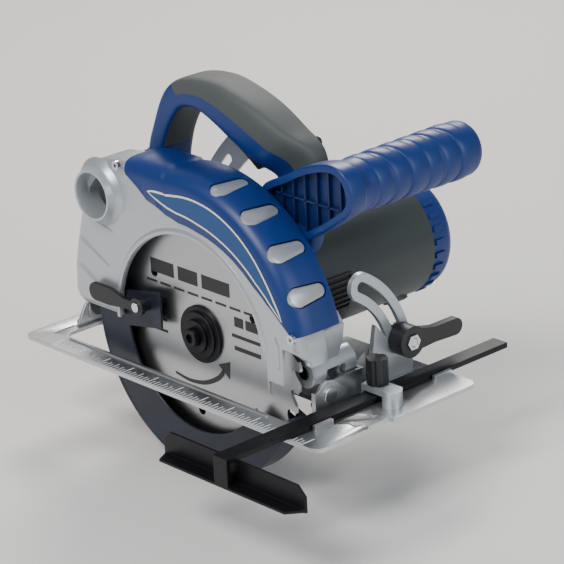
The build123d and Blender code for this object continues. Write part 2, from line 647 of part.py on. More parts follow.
# The auxiliary handle: a winged root against the handle and a finger-grooved bar towards the motor side.
ROOT_NEAR_V, ROOT_FAR_V, AUX_END_V = 23.4, 36.2, 152.0
ROOT = [(37, 140), (78, 161), (103, 168), (116, 165), (124, 153), (123, 140), (112, 130), (77, 111), (44, 124)]
ROOT_HOLLOW = [(52, 138), (80, 155), (103, 163), (114, 160), (119, 150), (117, 141), (108, 134), (78, 118),
               (56, 126)]
AUX_SPLIT_Z = AUX_Z - 5
with BuildPart() as aux_handle_upper:
    with BuildSketch(across(ROOT_FAR_V)):
        Polygon(*ROOT, align=None)
    extrude(amount=ROOT_FAR_V - ROOT_NEAR_V)
    with BuildSketch(across(AUX_END_V)):
        with Locations(AUX):
            Circle(AUX_R)
    extrude(amount=AUX_END_V - ROOT_FAR_V)
    fillet(aux_handle_upper.faces().sort_by(Axis.Y)[-1].edges(), 12)
    with BuildSketch(across(ROOT_NEAR_V + 9)):
        Polygon(*ROOT_HOLLOW, align=None)
    extrude(amount=9, mode=Mode.SUBTRACT)
    for rib in range(3):
        with Locations((68 + 18 * rib, BLADE_Y + ROOT_NEAR_V + 6, 142 + 5 * rib)):
            Box(1.6, 8, 36 if rib < 2 else 34)
    with Locations((88, BLADE_Y + ROOT_NEAR_V + 6, 142)):
        Box(62, 8, 1.6)
    split(bisect_by=Plane.XY.offset(AUX_SPLIT_Z), keep=Keep.TOP)
aux_handle_upper.part.label = "aux_handle_upper"
export_step(aux_handle_upper.part, "parts/aux_handle_upper.step")

with BuildPart() as aux_handle_lower:
    with BuildSketch(across(ROOT_FAR_V)):
        Polygon(*ROOT, align=None)
    extrude(amount=ROOT_FAR_V - ROOT_NEAR_V)
    with BuildSketch(across(AUX_END_V)):
        with Locations(AUX):
            Circle(AUX_R)
    extrude(amount=AUX_END_V - ROOT_FAR_V)
    fillet(aux_handle_lower.faces().sort_by(Axis.Y)[-1].edges(), 12)
    with BuildSketch(across(ROOT_NEAR_V + 9)):
        Polygon(*ROOT_HOLLOW, align=None)
    extrude(amount=9, mode=Mode.SUBTRACT)
    split(bisect_by=Plane.XY.offset(AUX_SPLIT_Z - 0.02), keep=Keep.BOTTOM)
aux_handle_lower.part.label = "aux_handle_lower"
export_step(aux_handle_lower.part, "parts/aux_handle_lower.step")

# The mains switch between the handle shells.
with BuildPart() as switch_block:
    with Locations((-6, BLADE_Y + GRIP_MID_V, 186)):
        Box(30, 15, 11)
switch_block.part.label = "switch_block"
export_step(switch_block.part, "parts/switch_block.step")

# The trigger, which slides up into the grip.
with BuildPart() as trigger:
    with BuildSketch(across(GRIP_MID_V + 7)):
        Polygon((0, 163), (0, 175), (24, 175), (31, 150), (27, 146), (14, 155), align=None)
    extrude(amount=14)
    fillet(trigger.edges().filter_by(Axis.Y).sort_by(Axis.Z)[:3], 2)
trigger.part.label = "trigger"
export_step(trigger.part, "parts/trigger.step")

with BuildPart() as lock_off_button:
    with BuildSketch(across(GRIP_FAR_V + 3)):
        with Locations((LOCK_X, LOCK_Z)):
            Circle(5)
    extrude(amount=6.4)
    chamfer(lock_off_button.faces().sort_by(Axis.Y)[-1].edges(), 0.8)
lock_off_button.part.label = "lock_off_button"
export_step(lock_off_button.part, "parts/lock_off_button.step")

# The rubber gland where the mains cord enters the handle's rear.
with BuildPart() as cord_gland:
    with BuildSketch(Plane.YZ.offset(-91)):
        with Locations((BLADE_Y + GRIP_MID_V, 130)):
            Circle(6)
    with BuildSketch(Plane.YZ.offset(-81)):
        with Locations((BLADE_Y + GRIP_MID_V, 130)):
            Circle(6.5)
    loft()
    with BuildSketch(Plane.YZ.offset(-110)):
        with Locations((BLADE_Y + GRIP_MID_V, 130)):
            Circle(3.6)
    extrude(amount=40, mode=Mode.SUBTRACT)
    with Locations((-84.5, BLADE_Y + GRIP_MID_V, 130)):
        Box(6, 16.8, 13)
    with Locations((-84.5, BLADE_Y + GRIP_MID_V, 130)):
        Cylinder(3.6, 10, rotation=(0, 90, 0), mode=Mode.SUBTRACT)
cord_gland.part.label = "cord_gland"
export_step(cord_gland.part, "parts/cord_gland.step")

# The heads of the four screws that hold the two handle shells together.
with BuildPart() as housing_screws:
    for spot in ((-70, 152), (-50, 186), (62, 168), (60, 120)):
        with BuildSketch(across(GRIP_FAR_V + 0.6)):
            with Locations(spot):
                Circle(3.4)
        extrude(amount=0.6)
housing_screws.part.label = "housing_screws"
export_step(housing_screws.part, "parts/housing_screws.step")

# ---------------------------------------------------------------- saw head: fittings
# The hinge bolt through the knuckle and the tilting bracket's lugs.
with BuildPart() as hinge_bolt:
    with BuildSketch(across(13.9)):
        with Locations(HINGE):
            Circle(6.1)
    extrude(amount=5.2)
    with BuildSketch(across(46)):
        with Locations(HINGE):
            Circle(HINGE_R - 0.02)
    extrude(amount=33)
    with BuildSketch(across(10)):
        with Locations(HINGE):
            RegularPolygon(3, 6)
    extrude(amount=3, mode=Mode.SUBTRACT)
hinge_bolt.part.label = "hinge_bolt"
export_step(hinge_bolt.part, "parts/hinge_bolt.step")

# The depth clamp's bolt, in the guard's boss and through the curved slot.
with BuildPart() as depth_bolt:
    with BuildSketch(across(STRIP_V + 12)):
        with Locations(DEPTH_BOLT):
            Circle(2.85)
    extrude(amount=38)
depth_bolt.part.label = "depth_bolt"
export_step(depth_bolt.part, "parts/depth_bolt.step")

with BuildPart() as depth_lever:
    with BuildSketch(across(STRIP_V + 9)):
        with Locations(DEPTH_BOLT):
            Circle(8)
        Polygon((DEPTH_BOLT[0], DEPTH_BOLT[1] + 7), (DEPTH_BOLT[0] - 38, DEPTH_BOLT[1] + 14),
                (DEPTH_BOLT[0] - 42, DEPTH_BOLT[1] + 4), (DEPTH_BOLT[0], DEPTH_BOLT[1] - 7), align=None)
        with Locations(DEPTH_BOLT):
            Circle(2.85 + FIT, mode=Mode.SUBTRACT)
    extrude(amount=8.6)
    fillet(depth_lever.edges().filter_by(Axis.Y).sort_by(Axis.X)[:2], 3)
depth_lever.part.label = "depth_lever"
export_step(depth_lever.part, "parts/depth_lever.step")

# The rubber bumper under the guard's rear lip, which stops the lower guard as it closes.
with BuildPart() as guard_bumper:
    with BuildSketch(across(2)):
        with Locations((-109, 27)):
            Circle(6.4)
    extrude(amount=7)
    split(bisect_by=Plane.XY.offset(30.98), keep=Keep.BOTTOM)
guard_bumper.part.label = "guard_bumper"
export_step(guard_bumper.part, "parts/guard_bumper.step")

# The spindle lock: a button and a pin that slides towards the spindle.
with BuildPart() as spindle_lock:
    with BuildSketch(Plane.YZ.offset(-52)):
        with Locations((BLADE_Y + LOCK_V, AXLE_Z)):
            Circle(5.4)
    extrude(amount=5)
    with BuildSketch(Plane.YZ.offset(-47)):
        with Locations((BLADE_Y + LOCK_V, AXLE_Z)):
            Circle(LOCK_R)
    extrude(amount=36)
spindle_lock.part.label = "spindle_lock"
export_step(spindle_lock.part, "parts/spindle_lock.step")

# The circlip that keeps the lower guard on its boss.
with BuildPart() as guard_circlip:
    with BuildSketch(across(4.1)):
        with Locations(AXLE):
            Circle(27)
            Circle(23.3, mode=Mode.SUBTRACT)
            Polygon(*wedge(0, 0, 80, 100, 60), align=None, mode=Mode.SUBTRACT)
    extrude(amount=1.0)
guard_circlip.part.label = "guard_circlip"
export_step(guard_circlip.part, "parts/guard_circlip.step")


def ring(name, place, inner, outer, far_v, width):
    """A bearing or bush: a plain ring about an axis along Y."""
    with BuildPart() as made:
        with BuildSketch(across(far_v)):
            with Locations(place):
                Circle(outer)
                Circle(inner, mode=Mode.SUBTRACT)
        extrude(amount=width)
    made.part.label = name
    export_step(made.part, "parts/" + name + ".step")


ring("spindle_front_bearing", AXLE, 7.5, 15.95, 18.9, 8.8)
ring("spindle_rear_bearing", AXLE, 5.0, 10.98, 45.8, 8.4)
ring("armature_front_bearing", MOTOR, 4.0, 10.98, 45.8, 8.4)
ring("armature_rear_bearing", MOTOR, 4.0, 9.98, HOUSING_END_V + 8.6, 8)
ring("stator", MOTOR, 24.5, MOTOR_R - 2.56, 128, 50)

# Field coils bulging from the stator's two ends.
with BuildPart() as field_coils:
    for far_v in (136.5, 77.8):
        with BuildSketch(across(far_v)):
            with Locations(MOTOR):
                Circle(35)
                Circle(25.5, mode=Mode.SUBTRACT)
            Polygon(*wedge(MOTOR_X, MOTOR_Z, -22, 22, 80), align=None, mode=Mode.SUBTRACT)
            Polygon(*wedge(MOTOR_X, MOTOR_Z, 158, 202, 80), align=None, mode=Mode.SUBTRACT)
        extrude(amount=8)
field_coils.part.label = "field_coils"
export_step(field_coils.part, "parts/field_coils.step")

# Carbon brushes and the caps that hold them in the housing.
with BuildPart() as carbon_brushes:
    for facing in BRUSH_ANGLES:
        with BuildSketch(brush_plane(facing, 13.5)):
            Rectangle(6, 9)
        extrude(amount=16)
carbon_brushes.part.label = "carbon_brushes"
export_step(carbon_brushes.part, "parts/carbon_brushes.step")

with BuildPart() as brush_caps:
    for facing in BRUSH_ANGLES:
        with BuildSketch(brush_plane(facing, 31)):
            Circle(6.95)
        extrude(amount=13)
        with BuildSketch(brush_plane(facing, 42.8)):
            Rectangle(9, 1.4)
        extrude(amount=2, mode=Mode.SUBTRACT)
brush_caps.part.label = "brush_caps"
export_step(brush_caps.part, "parts/brush_caps.step")

# ---------------------------------------------------------------- lower guard
GUARD_FRONT, GUARD_BACK = -21.0, 170.0
with BuildPart() as lower_guard:
    walls = ((6.2, 1.8, 24.08, GUARD_FRONT), (4.6, 14.0, 96.0, GUARD_FRONT),
             (-7.6, 1.6, 68.0, GUARD_FRONT - 10))
    for far_v, thick, inner, front in walls:
        with BuildSketch(across(far_v)):
            with Locations(AXLE):
                Circle(98)
                Circle(inner, mode=Mode.SUBTRACT)
            Polygon(*wedge(0, AXLE_Z, front, GUARD_BACK), align=None, mode=Mode.SUBTRACT)
        extrude(amount=thick)
    with BuildSketch(across(6.2)):
        with Locations(AXLE):
            Circle(31)
            Circle(24.08, mode=Mode.SUBTRACT)
    extrude(amount=1.8)
    # the plate that reaches in from the outer wall to carry the lever
    with BuildSketch(across(-7.6)):
        Polygon((-72, 50), (-33, 57), (-33, 31), (-72, 24), align=None)
    extrude(amount=1.6)
    with BuildSketch(across(-9)):
        with Locations((-47, 46)):
            Circle(5)
    extrude(amount=6.8)
    # the flared lip that rides over the work
    with BuildSketch(across(9)):
        with Locations(AXLE):
            Circle(98)
            Circle(94.5, mode=Mode.SUBTRACT)
        Polygon(*wedge(0, AXLE_Z, GUARD_FRONT - 4, 298), align=None, mode=Mode.SUBTRACT)
    extrude(amount=4)
lower_guard.part.label = "lower_guard"
export_step(lower_guard.part, "parts/lower_guard.step")

with BuildPart() as guard_lever:
    with BuildSketch(across(-15.85)):
        with BuildLine():
            Polyline((-41, 50), (-60, 49), (-74, 53), (-90, 53))
            ThreePointArc((-90, 53), (-97, 46), (-90, 40))
            Polyline((-90, 40), (-76, 40), (-60, 42), (-41, 42), (-41, 50))
        make_face()
        with Locations((-47, 46)):
            Circle(6.5)
            Circle(2.2, mode=Mode.SUBTRACT)
    extrude(amount=3)
guard_lever.part.label = "guard_lever"
export_step(guard_lever.part, "parts/guard_lever.step")

with BuildPart() as lever_rivet:
    with BuildSketch(across(-18.9)):
        with Locations((-47, 46)):
            Circle(3.4)
    extrude(amount=1.2)
    with BuildSketch(across(-15.85)):
        with Locations((-47, 46)):
            Circle(2.15)
    extrude(amount=3.2)
lever_rivet.part.label = "lever_rivet"
export_step(lever_rivet.part, "parts/lever_rivet.step")

# The torsion spring that closes the lower guard, as its turns lie round the boss.
with BuildPart() as guard_spring:
    for turn in range(3):
        with BuildSketch(across(8.4 + 1.7 * turn)):
            with Locations(AXLE):
                Circle(27.2)
                Circle(25.6, mode=Mode.SUBTRACT)
        extrude(amount=1.7)
guard_spring.part.label = "guard_spring"
export_step(guard_spring.part, "parts/guard_spring.step")

# ---------------------------------------------------------------- blade and spindle
with BuildPart() as blade:
    outline = []
    step = 360.0 / BLADE_TEETH
    for tooth in range(BLADE_TEETH):
        at = tooth * step
        outline.append(polar(0, 0, BLADE_R, at))
        outline.append(polar(0, 0, BLADE_R - 1.2, at + 0.28 * step))
        outline.append(polar(0, 0, BLADE_R - 6.5, at + 0.62 * step))
        outline.append(polar(0, 0, BLADE_R - 7.5, at + 0.85 * step))
        outline.append(polar(0, 0, BLADE_R - 6, at + 0.97 * step))
    with BuildSketch(across(BLADE_T / 2)):
        with Locations(AXLE):
            Polygon(*outline, align=None)
            Circle(BLADE_BORE_R, mode=Mode.SUBTRACT)
            with PolarLocations(57, 3, start_angle=-95):
                Circle(3.4, mode=Mode.SUBTRACT)
    extrude(amount=BLADE_T)
blade.part.label = "blade"
export_step(blade.part, "parts/blade.step")

with BuildPart() as inner_flange:
    with BuildSketch(across(4)):
        with Locations(AXLE):
            Circle(19)
            Circle(7.52, mode=Mode.SUBTRACT)
    extrude(amount=4 - BLADE_T / 2)
inner_flange.part.label = "inner_flange"
export_step(inner_flange.part, "parts/inner_flange.step")

with BuildPart() as outer_flange:
    for far_v, radius, thick in ((-1.2, 20, 2.4), (-3.5, 16.5, 2.2), (-5.6, 11.5, 3.0)):
        with BuildSketch(across(far_v)):
            with Locations(AXLE):
                Circle(radius)
                Circle(4.05, mode=Mode.SUBTRACT)
        extrude(amount=thick)
outer_flange.part.label = "outer_flange"
export_step(outer_flange.part, "parts/outer_flange.step")

with BuildPart() as blade_bolt:
    with BuildSketch(across(-8.7)):
        with Locations(AXLE):
            Circle(6.5)
    extrude(amount=4.6)
    with BuildSketch(across(12)):
        with Locations(AXLE):
            Circle(4)
    extrude(amount=21)
    with BuildSketch(across(-10)):
        with Locations(AXLE):
            RegularPolygon(3.2, 6)
    extrude(amount=6, mode=Mode.SUBTRACT)
blade_bolt.part.label = "blade_bolt"
export_step(blade_bolt.part, "parts/blade_bolt.step")

with BuildPart() as spindle:
    steps_along = ((1.2, BLADE_BORE_R - 0.05, -1.0), (19, 7.48, 1.2), (36, 8.5, 19), (46, 4.98, 36))
    for far_v, radius, near_v in steps_along:
        with BuildSketch(across(far_v)):
            with Locations(AXLE):
                Circle(radius)
        extrude(amount=far_v - near_v)
    with BuildSketch(across(13)):
        with Locations(AXLE):
            Circle(4.02)
    extrude(amount=20, mode=Mode.SUBTRACT)
    with BuildSketch(Plane.YZ.offset(-12)):
        with Locations((BLADE_Y + LOCK_V, AXLE_Z)):
            Circle(LOCK_R + 0.4)
    extrude(amount=24, mode=Mode.SUBTRACT)
spindle.part.label = "spindle"
export_step(spindle.part, "parts/spindle.step")

with BuildPart() as drive_gear:
    with BuildSketch(across(34)):
        with Locations(AXLE):
            Polygon(*toothed(GEAR_TEETH, GEAR_R + 1, GEAR_R - 1.4, 0.27, 0.12, MESH_ANGLE), align=None)
            Circle(8.52, mode=Mode.SUBTRACT)
    extrude(amount=8)
drive_gear.part.label = "drive_gear"
export_step(drive_gear.part, "parts/drive_gear.step")

# ---------------------------------------------------------------- armature
with BuildPart() as armature_shaft:
    with BuildSketch(across(36)):
        with Locations(MOTOR):
            Polygon(*toothed(PINION_TEETH, PINION_R + 1.05, PINION_R - 1.4, 0.24, 0.10, MESH_ANGLE + 198),
                    align=None)
    extrude(amount=10.5)
    with BuildSketch(across(HOUSING_END_V + 8.4)):
        with Locations(MOTOR):
            Circle(3.98)
    extrude(amount=HOUSING_END_V + 8.4 - 35)
armature_shaft.part.label = "armature_shaft"
export_step(armature_shaft.part, "parts/armature_shaft.step")

with BuildPart() as armature_core:
    with BuildSketch(across(127)):
        with Locations(MOTOR):
            Circle(23.8)
            Circle(4, mode=Mode.SUBTRACT)
            with PolarLocations(22.6, 12):
                Rectangle(2.6, 2.2, mode=Mode.SUBTRACT)
    extrude(amount=48)
armature_core.part.label = "armature_core"
export_step(armature_core.part, "parts/armature_core.step")

with BuildPart() as armature_windings:
    for far_v, near_v in ((136, 127), (79, 71)):
        with BuildSketch(across(far_v)):
            with Locations(MOTOR):
                Circle(20)
                Circle(4, mode=Mode.SUBTRACT)
        extrude(amount=far_v - near_v)
armature_windings.part.label = "armature_windings"
export_step(armature_windings.part, "parts/armature_windings.step")

ring("commutator", MOTOR, 4.0, 13.0, 151, 14.5)

with BuildPart() as cooling_fan:
    with BuildSketch(across(52)):
        with Locations(MOTOR):
            Circle(36)
            Circle(4, mode=Mode.SUBTRACT)
    extrude(amount=2)
    with BuildSketch(across(64)):
        with Locations(MOTOR):
            Circle(8)
            Circle(4, mode=Mode.SUBTRACT)
            with PolarLocations(24, 14):
                Rectangle(22, 1.6)
    extrude(amount=12)
cooling_fan.part.label = "cooling_fan"
export_step(cooling_fan.part, "parts/cooling_fan.step")

# ---------------------------------------------------------------- rip fence
# The bar, and the shoe below it that runs along the edge of the work.
BAR_NEAR_V, BAR_FAR_V, SHOE_V = -88.0, 168.0, -78.0
with BuildPart() as rip_fence:
    with Locations((FENCE_X, BLADE_Y + (BAR_NEAR_V + BAR_FAR_V) / 2, FENCE_Z + FENCE_T / 2)):
        Box(FENCE_W, BAR_FAR_V - BAR_NEAR_V, FENCE_T)
    with Locations((FENCE_X, BLADE_Y + BAR_NEAR_V + 1.5, -3.5)):
        Box(FENCE_W, 3, 18)
    with BuildSketch(across(SHOE_V + 2)):
        with BuildLine():
            Polyline((FENCE_X - 66, -14), (FENCE_X - 66, -2), (FENCE_X - 60, FENCE_Z), (FENCE_X + 60, FENCE_Z))
            Polyline((FENCE_X + 60, FENCE_Z), (FENCE_X + 67, -3), (FENCE_X + 67, -14), (FENCE_X - 66, -14))
        make_face()
    extrude(amount=2)
    with BuildSketch(Plane.XY.offset(-14)):
        Polygon((FENCE_X - 66, BLADE_Y + SHOE_V + 2), (FENCE_X + 67, BLADE_Y + SHOE_V + 2),
                (FENCE_X + 58, BLADE_Y + SHOE_V - 10), (FENCE_X - 60, BLADE_Y + SHOE_V - 10), align=None)
    extrude(amount=2)
rip_fence.part.label = "rip_fence"
export_step(rip_fence.part, "parts/rip_fence.step")

# The knob that pinches the bar under its bridge.
with BuildPart() as fence_knob:
    with BuildSketch(Plane.XY.offset(13.2)):
        with Locations((FENCE_X, BLADE_Y + CLAMP_V)):
            Circle(7.4)
            with PolarLocations(7.9, 6):
                Circle(1.6, mode=Mode.SUBTRACT)
    extrude(amount=18)
    with BuildSketch(Plane.XY.offset(FENCE_Z + FENCE_T + 0.3)):
        with Locations((FENCE_X, BLADE_Y + CLAMP_V)):
            Circle(3.14)
    extrude(amount=8)
fence_knob.part.label = "fence_knob"
export_step(fence_knob.part, "parts/fence_knob.step")
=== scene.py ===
import json
import math

import bmesh
import bpy
from mathutils import Matrix, Vector


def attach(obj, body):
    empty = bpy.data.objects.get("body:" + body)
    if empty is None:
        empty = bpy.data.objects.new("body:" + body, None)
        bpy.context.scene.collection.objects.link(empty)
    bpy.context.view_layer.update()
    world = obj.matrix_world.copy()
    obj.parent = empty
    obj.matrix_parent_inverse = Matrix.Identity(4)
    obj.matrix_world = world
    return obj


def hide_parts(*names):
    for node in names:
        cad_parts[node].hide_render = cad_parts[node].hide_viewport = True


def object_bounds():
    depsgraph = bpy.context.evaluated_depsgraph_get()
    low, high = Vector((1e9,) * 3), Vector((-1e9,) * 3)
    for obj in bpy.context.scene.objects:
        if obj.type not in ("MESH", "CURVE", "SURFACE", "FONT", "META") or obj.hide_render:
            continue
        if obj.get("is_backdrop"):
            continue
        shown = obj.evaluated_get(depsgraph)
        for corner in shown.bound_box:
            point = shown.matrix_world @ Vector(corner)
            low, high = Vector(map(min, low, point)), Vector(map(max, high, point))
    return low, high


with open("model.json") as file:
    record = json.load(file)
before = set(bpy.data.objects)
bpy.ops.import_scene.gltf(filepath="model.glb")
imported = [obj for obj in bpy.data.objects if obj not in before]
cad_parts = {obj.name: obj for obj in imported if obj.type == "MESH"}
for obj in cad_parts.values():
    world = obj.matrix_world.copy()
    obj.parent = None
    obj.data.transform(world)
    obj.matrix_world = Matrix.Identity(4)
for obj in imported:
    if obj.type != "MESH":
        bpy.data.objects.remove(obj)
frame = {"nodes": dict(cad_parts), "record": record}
cad_low, cad_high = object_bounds()

# ------------------------------------------------------------------ camera
# The viewpoint: ahead of the saw, on the blade's side, looking down on it through a long lens.
camera_data = bpy.data.cameras.new("camera")
camera_data.lens = 182.0
camera_data.sensor_width = 36.0
camera_data.sensor_fit = "HORIZONTAL"
camera_data.clip_start = 0.05
camera_data.clip_end = 30.0
camera = bpy.data.objects.new("camera", camera_data)
bpy.context.scene.collection.objects.link(camera)
camera.matrix_world = Matrix((
    (0.6783, -0.2333, 0.6968, 1.3533),
    (0.7334, 0.2732, -0.6224, -1.1768),
    (-0.0452, 0.9332, 0.3564, 0.7417),
    (0, 0, 0, 1)))
bpy.context.scene.camera = camera

# ------------------------------------------------------------------ floor
# A matt pale floor, flat under the saw, which curves up into a wall about three metres behind it.
# Sizes are in metres.
FLOOR_GAP = 0.0005
FLOOR_SIDE = 7
FLOOR_PROFILE = ((-6.0, 0.0), (1.6, 0.0), (2.2, 0.06), (2.6, 0.25), (2.9, 0.7), (3.0, 4.5))
FLOOR_AWAY = Vector((-0.745, 0.667, 0))
FLOOR_ACROSS = Vector((0.667, 0.745, 0))


class Field:
    """A shader socket that takes part in sums: fields add, subtract, multiply and rise to a power."""

    def __init__(self, tree, socket):
        self.tree = tree
        self.socket = socket

    def _math(self, operation, first, second):
        node = self.tree.nodes.new("ShaderNodeMath")
        node.operation = operation
        for slot, value in enumerate((first, second)):
            if isinstance(value, Field):
                self.tree.links.new(value.socket, node.inputs[slot])
            else:
                node.inputs[slot].default_value = value
        return Field(self.tree, node.outputs[0])

    def __add__(self, other):
        return self._math("ADD", self, other)

    __radd__ = __add__

    def __mul__(self, other):
        return self._math("MULTIPLY", self, other)

    __rmul__ = __mul__

    def __sub__(self, other):
        return self._math("SUBTRACT", self, other)

    def __rsub__(self, other):
        return self._math("SUBTRACT", other, self)

    def __pow__(self, other):
        return self._math("POWER", self, other)

    def node(self, kind, output, inputs, **settings):
        """Any other node, its inputs given by name, as fields or plain values."""
        made = self.tree.nodes.new(kind)
        for key, value in settings.items():
            setattr(made, key, value)
        for key, value in inputs.items():
            if isinstance(value, Field):
                self.tree.links.new(value.socket, made.inputs[key])
            else:
                made.inputs[key].default_value = value
        return Field(self.tree, made.outputs[output])


def material(name, colour, rough, metal=0.0, coat=0.0, grain=900.0, bump=0.04, worn=0.0, speckle=0.0):
    """A finish with a fine grain, a slow change in roughness and, if worn, a faint change in colour."""
    made = bpy.data.materials.new(name)
    made.use_nodes = True
    tree = made.node_tree
    shader = tree.nodes["Principled BSDF"]
    shader.inputs["Base Color"].default_value = (*colour, 1)
    shader.inputs["Metallic"].default_value = metal
    shader.inputs["Coat Weight"].default_value = coat
    start = Field(tree, tree.nodes.new("ShaderNodeTexCoord").outputs["Object"])
    slow = start.node("ShaderNodeTexNoise", "Fac", {"Vector": start, "Scale": 28.0, "Detail": 3.0})
    fine = start.node("ShaderNodeTexNoise", "Fac", {"Vector": start, "Scale": grain, "Detail": 2.0})
    roughness = rough + (slow - 0.5) * 0.16 + (fine - 0.5) * 0.05
    tree.links.new(roughness.socket, shader.inputs["Roughness"])
    if bump:
        height = start.node("ShaderNodeBump", "Normal",
                            {"Strength": bump, "Distance": 0.0006, "Height": fine})
        tree.links.new(height.socket, shader.inputs["Normal"])
    if worn or speckle:
        amount = (slow - 0.5) * worn + (fine - 0.5) * speckle + 0.5
        dark = tuple(c * 0.6 for c in colour)
        light = tuple(min(1.0, c * 1.4) for c in colour)
        tint = start.node("ShaderNodeMix", 2, {0: amount, 6: (*dark, 1), 7: (*light, 1)},
                          data_type="RGBA")
        tree.links.new(tint.socket, shader.inputs["Base Color"])
    return made


floor = bpy.data.objects.new("floor", bpy.data.meshes.new("floor"))
bpy.context.scene.collection.objects.link(floor)
sweep = bmesh.new()
rows = [[sweep.verts.new(FLOOR_AWAY * along + FLOOR_ACROSS * side + Vector((0, 0, cad_low.z - FLOOR_GAP + up)))
         for side in (-FLOOR_SIDE, FLOOR_SIDE)] for along, up in FLOOR_PROFILE]
for low, high in zip(rows, rows[1:]):
    sweep.faces.new((low[0], low[1], high[1], high[0])).smooth = True
sweep.to_mesh(floor.data)
sweep.free()
floor.data.materials.append(material("pale_sweep", (0.74, 0.73, 0.72), 0.7, bump=0.0))
floor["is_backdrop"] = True

# ------------------------------------------------------------------ light
# Pale even surroundings, a large soft key from the blade's side, a fill from the front and a rim
# light from behind on the motor's side.
world = bpy.data.worlds.new("studio")
bpy.context.scene.world = world
world.use_nodes = True
world.node_tree.nodes["Background"].inputs["Color"].default_value = (0.86, 0.89, 0.94, 1)
world.node_tree.nodes["Background"].inputs["Strength"].default_value = 0.36


def area_light(name, where, size, power, colour):
    """A soft square light aimed at the middle of the saw."""
    data = bpy.data.lights.new(name, "AREA")
    data.size = size
    data.energy = power
    data.color = colour
    lamp = bpy.data.objects.new(name, data)
    lamp.location = where
    lamp.rotation_mode = "QUATERNION"
    lamp.rotation_quaternion = (Vector((0, 0, 0.06)) - Vector(where)).to_track_quat("-Z", "Y")
    bpy.context.scene.collection.objects.link(lamp)


area_light("key", (0.2, -1.5, 1.7), 0.9, 42, (1.0, 0.98, 0.95))
area_light("fill", (1.9, 0.2, 0.9), 1.2, 16, (0.92, 0.96, 1.0))
area_light("rim", (-0.9, 1.1, 1.3), 0.7, 26, (1.0, 0.97, 0.92))

# ------------------------------------------------------------------ sole
# The flat plate that the saw slides on, pressed from zinc-plated sheet. Inch marks, one every
# eighth, are struck along its right-hand strip beside a long line.
MM = 0.001
BLADE_Y = -40.0
EIGHTH = 3.175
MARK_COUNT = 81
MARKS_FROM, MARKS_TO = -124, 130
MARK_V = -33.6
MARK_BOTTOM, MARK_TOP = 2.9, 3.12
MARK_SIZES = ((8, 10.5, 0.45), (4, 8.0, 0.32), (2, 6.4, 0.32), (1, 4.8, 0.32))  # eighths, length, half width
BOX_FACES = ((0, 1, 3, 2), (4, 6, 7, 5), (0, 4, 5, 1), (2, 3, 7, 6), (0, 2, 6, 4), (1, 5, 7, 3))

sheet = material("zinc_sheet", (0.60, 0.615, 0.63), 0.30, metal=0.95, grain=700, bump=0.05, worn=0.22)
tick_ink = material("pressed_line", (0.86, 0.87, 0.88), 0.5, metal=0.2, bump=0.0)

body_of_node = {}
for body_name, members in frame["record"]["behaviour"]["bodies"].items():
    for member in members:
        body_of_node[member] = body_name


def place(x, v, z):
    """A point in metres: x forward, v from the blade's plane towards the motor, z above the sole, in mm."""
    return Vector((x * MM, (BLADE_Y + v) * MM, z * MM))


def smooth_by_angle(mesh, degrees=32):
    """Smooth shading, with edges sharper than the angle kept crisp."""
    work = bmesh.new()
    work.from_mesh(mesh)
    for face in work.faces:
        face.smooth = True
    for edge in work.edges:
        edge.smooth = len(edge.link_faces) == 2 and edge.calc_face_angle(0) < math.radians(degrees)
    work.to_mesh(mesh)
    work.free()


def finish_piece(obj, body, finish, replaced=()):
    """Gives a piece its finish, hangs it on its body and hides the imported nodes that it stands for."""
    obj.data.materials.clear()
    for one in (finish if isinstance(finish, list) else [finish]):
        obj.data.materials.append(one)
    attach(obj, body)
    if replaced:
        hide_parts(*replaced)
    return obj


def cleaned(node):
    """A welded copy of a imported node, with its flat faces joined up again."""
    mesh = frame["nodes"][node].data.copy()
    work = bmesh.new()
    work.from_mesh(mesh)
    bmesh.ops.remove_doubles(work, verts=work.verts, dist=1e-6)
    bmesh.ops.dissolve_limit(work, angle_limit=math.radians(0.6), verts=work.verts, edges=work.edges)
    work.to_mesh(mesh)
    work.free()
    copy = bpy.data.objects.new(node + "_shape", mesh)
    bpy.context.scene.collection.objects.link(copy)
    return copy


def broken_edges(obj, width, degrees=38):
    """Rounds every sharp edge by a small width, in mm."""
    bevel = obj.modifiers.new("edges", "BEVEL")
    bevel.width = width * MM
    bevel.segments = 2
    bevel.limit_method = "ANGLE"
    bevel.angle_limit = math.radians(degrees)
    bevel.use_clamp_overlap = True
    bevel.miter_outer = "MITER_ARC"
    smooth_by_angle(obj.data, degrees)
    bevel.harden_normals = True
    return obj


def keep_shapes(finish, **widths):
    """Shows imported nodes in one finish, each with its edges broken by its own width in mm."""
    for node, width in widths.items():
        finish_piece(broken_edges(cleaned(node), width), body_of_node[node], finish, (node,))


def new_piece(name, points, faces, degrees=32):
    """A mesh from points in mm (x, v, z) and faces."""
    mesh = bpy.data.meshes.new(name)
    mesh.from_pydata([place(*p) for p in points], [], faces)
    work = bmesh.new()
    work.from_mesh(mesh)
    bmesh.ops.recalc_face_normals(work, faces=work.faces)
    work.to_mesh(mesh)
    work.free()
    smooth_by_angle(mesh, degrees)
    obj = bpy.data.objects.new(name, mesh)
    bpy.context.scene.collection.objects.link(obj)
    return obj


def add_box(points, faces, low, high):
    """Adds a box between two corners to lists of points and faces."""
    base = len(points)
    points += [(x, v, z) for x in (low[0], high[0]) for v in (low[1], high[1]) for z in (low[2], high[2])]
    faces += [tuple(base + i for i in face) for face in BOX_FACES]


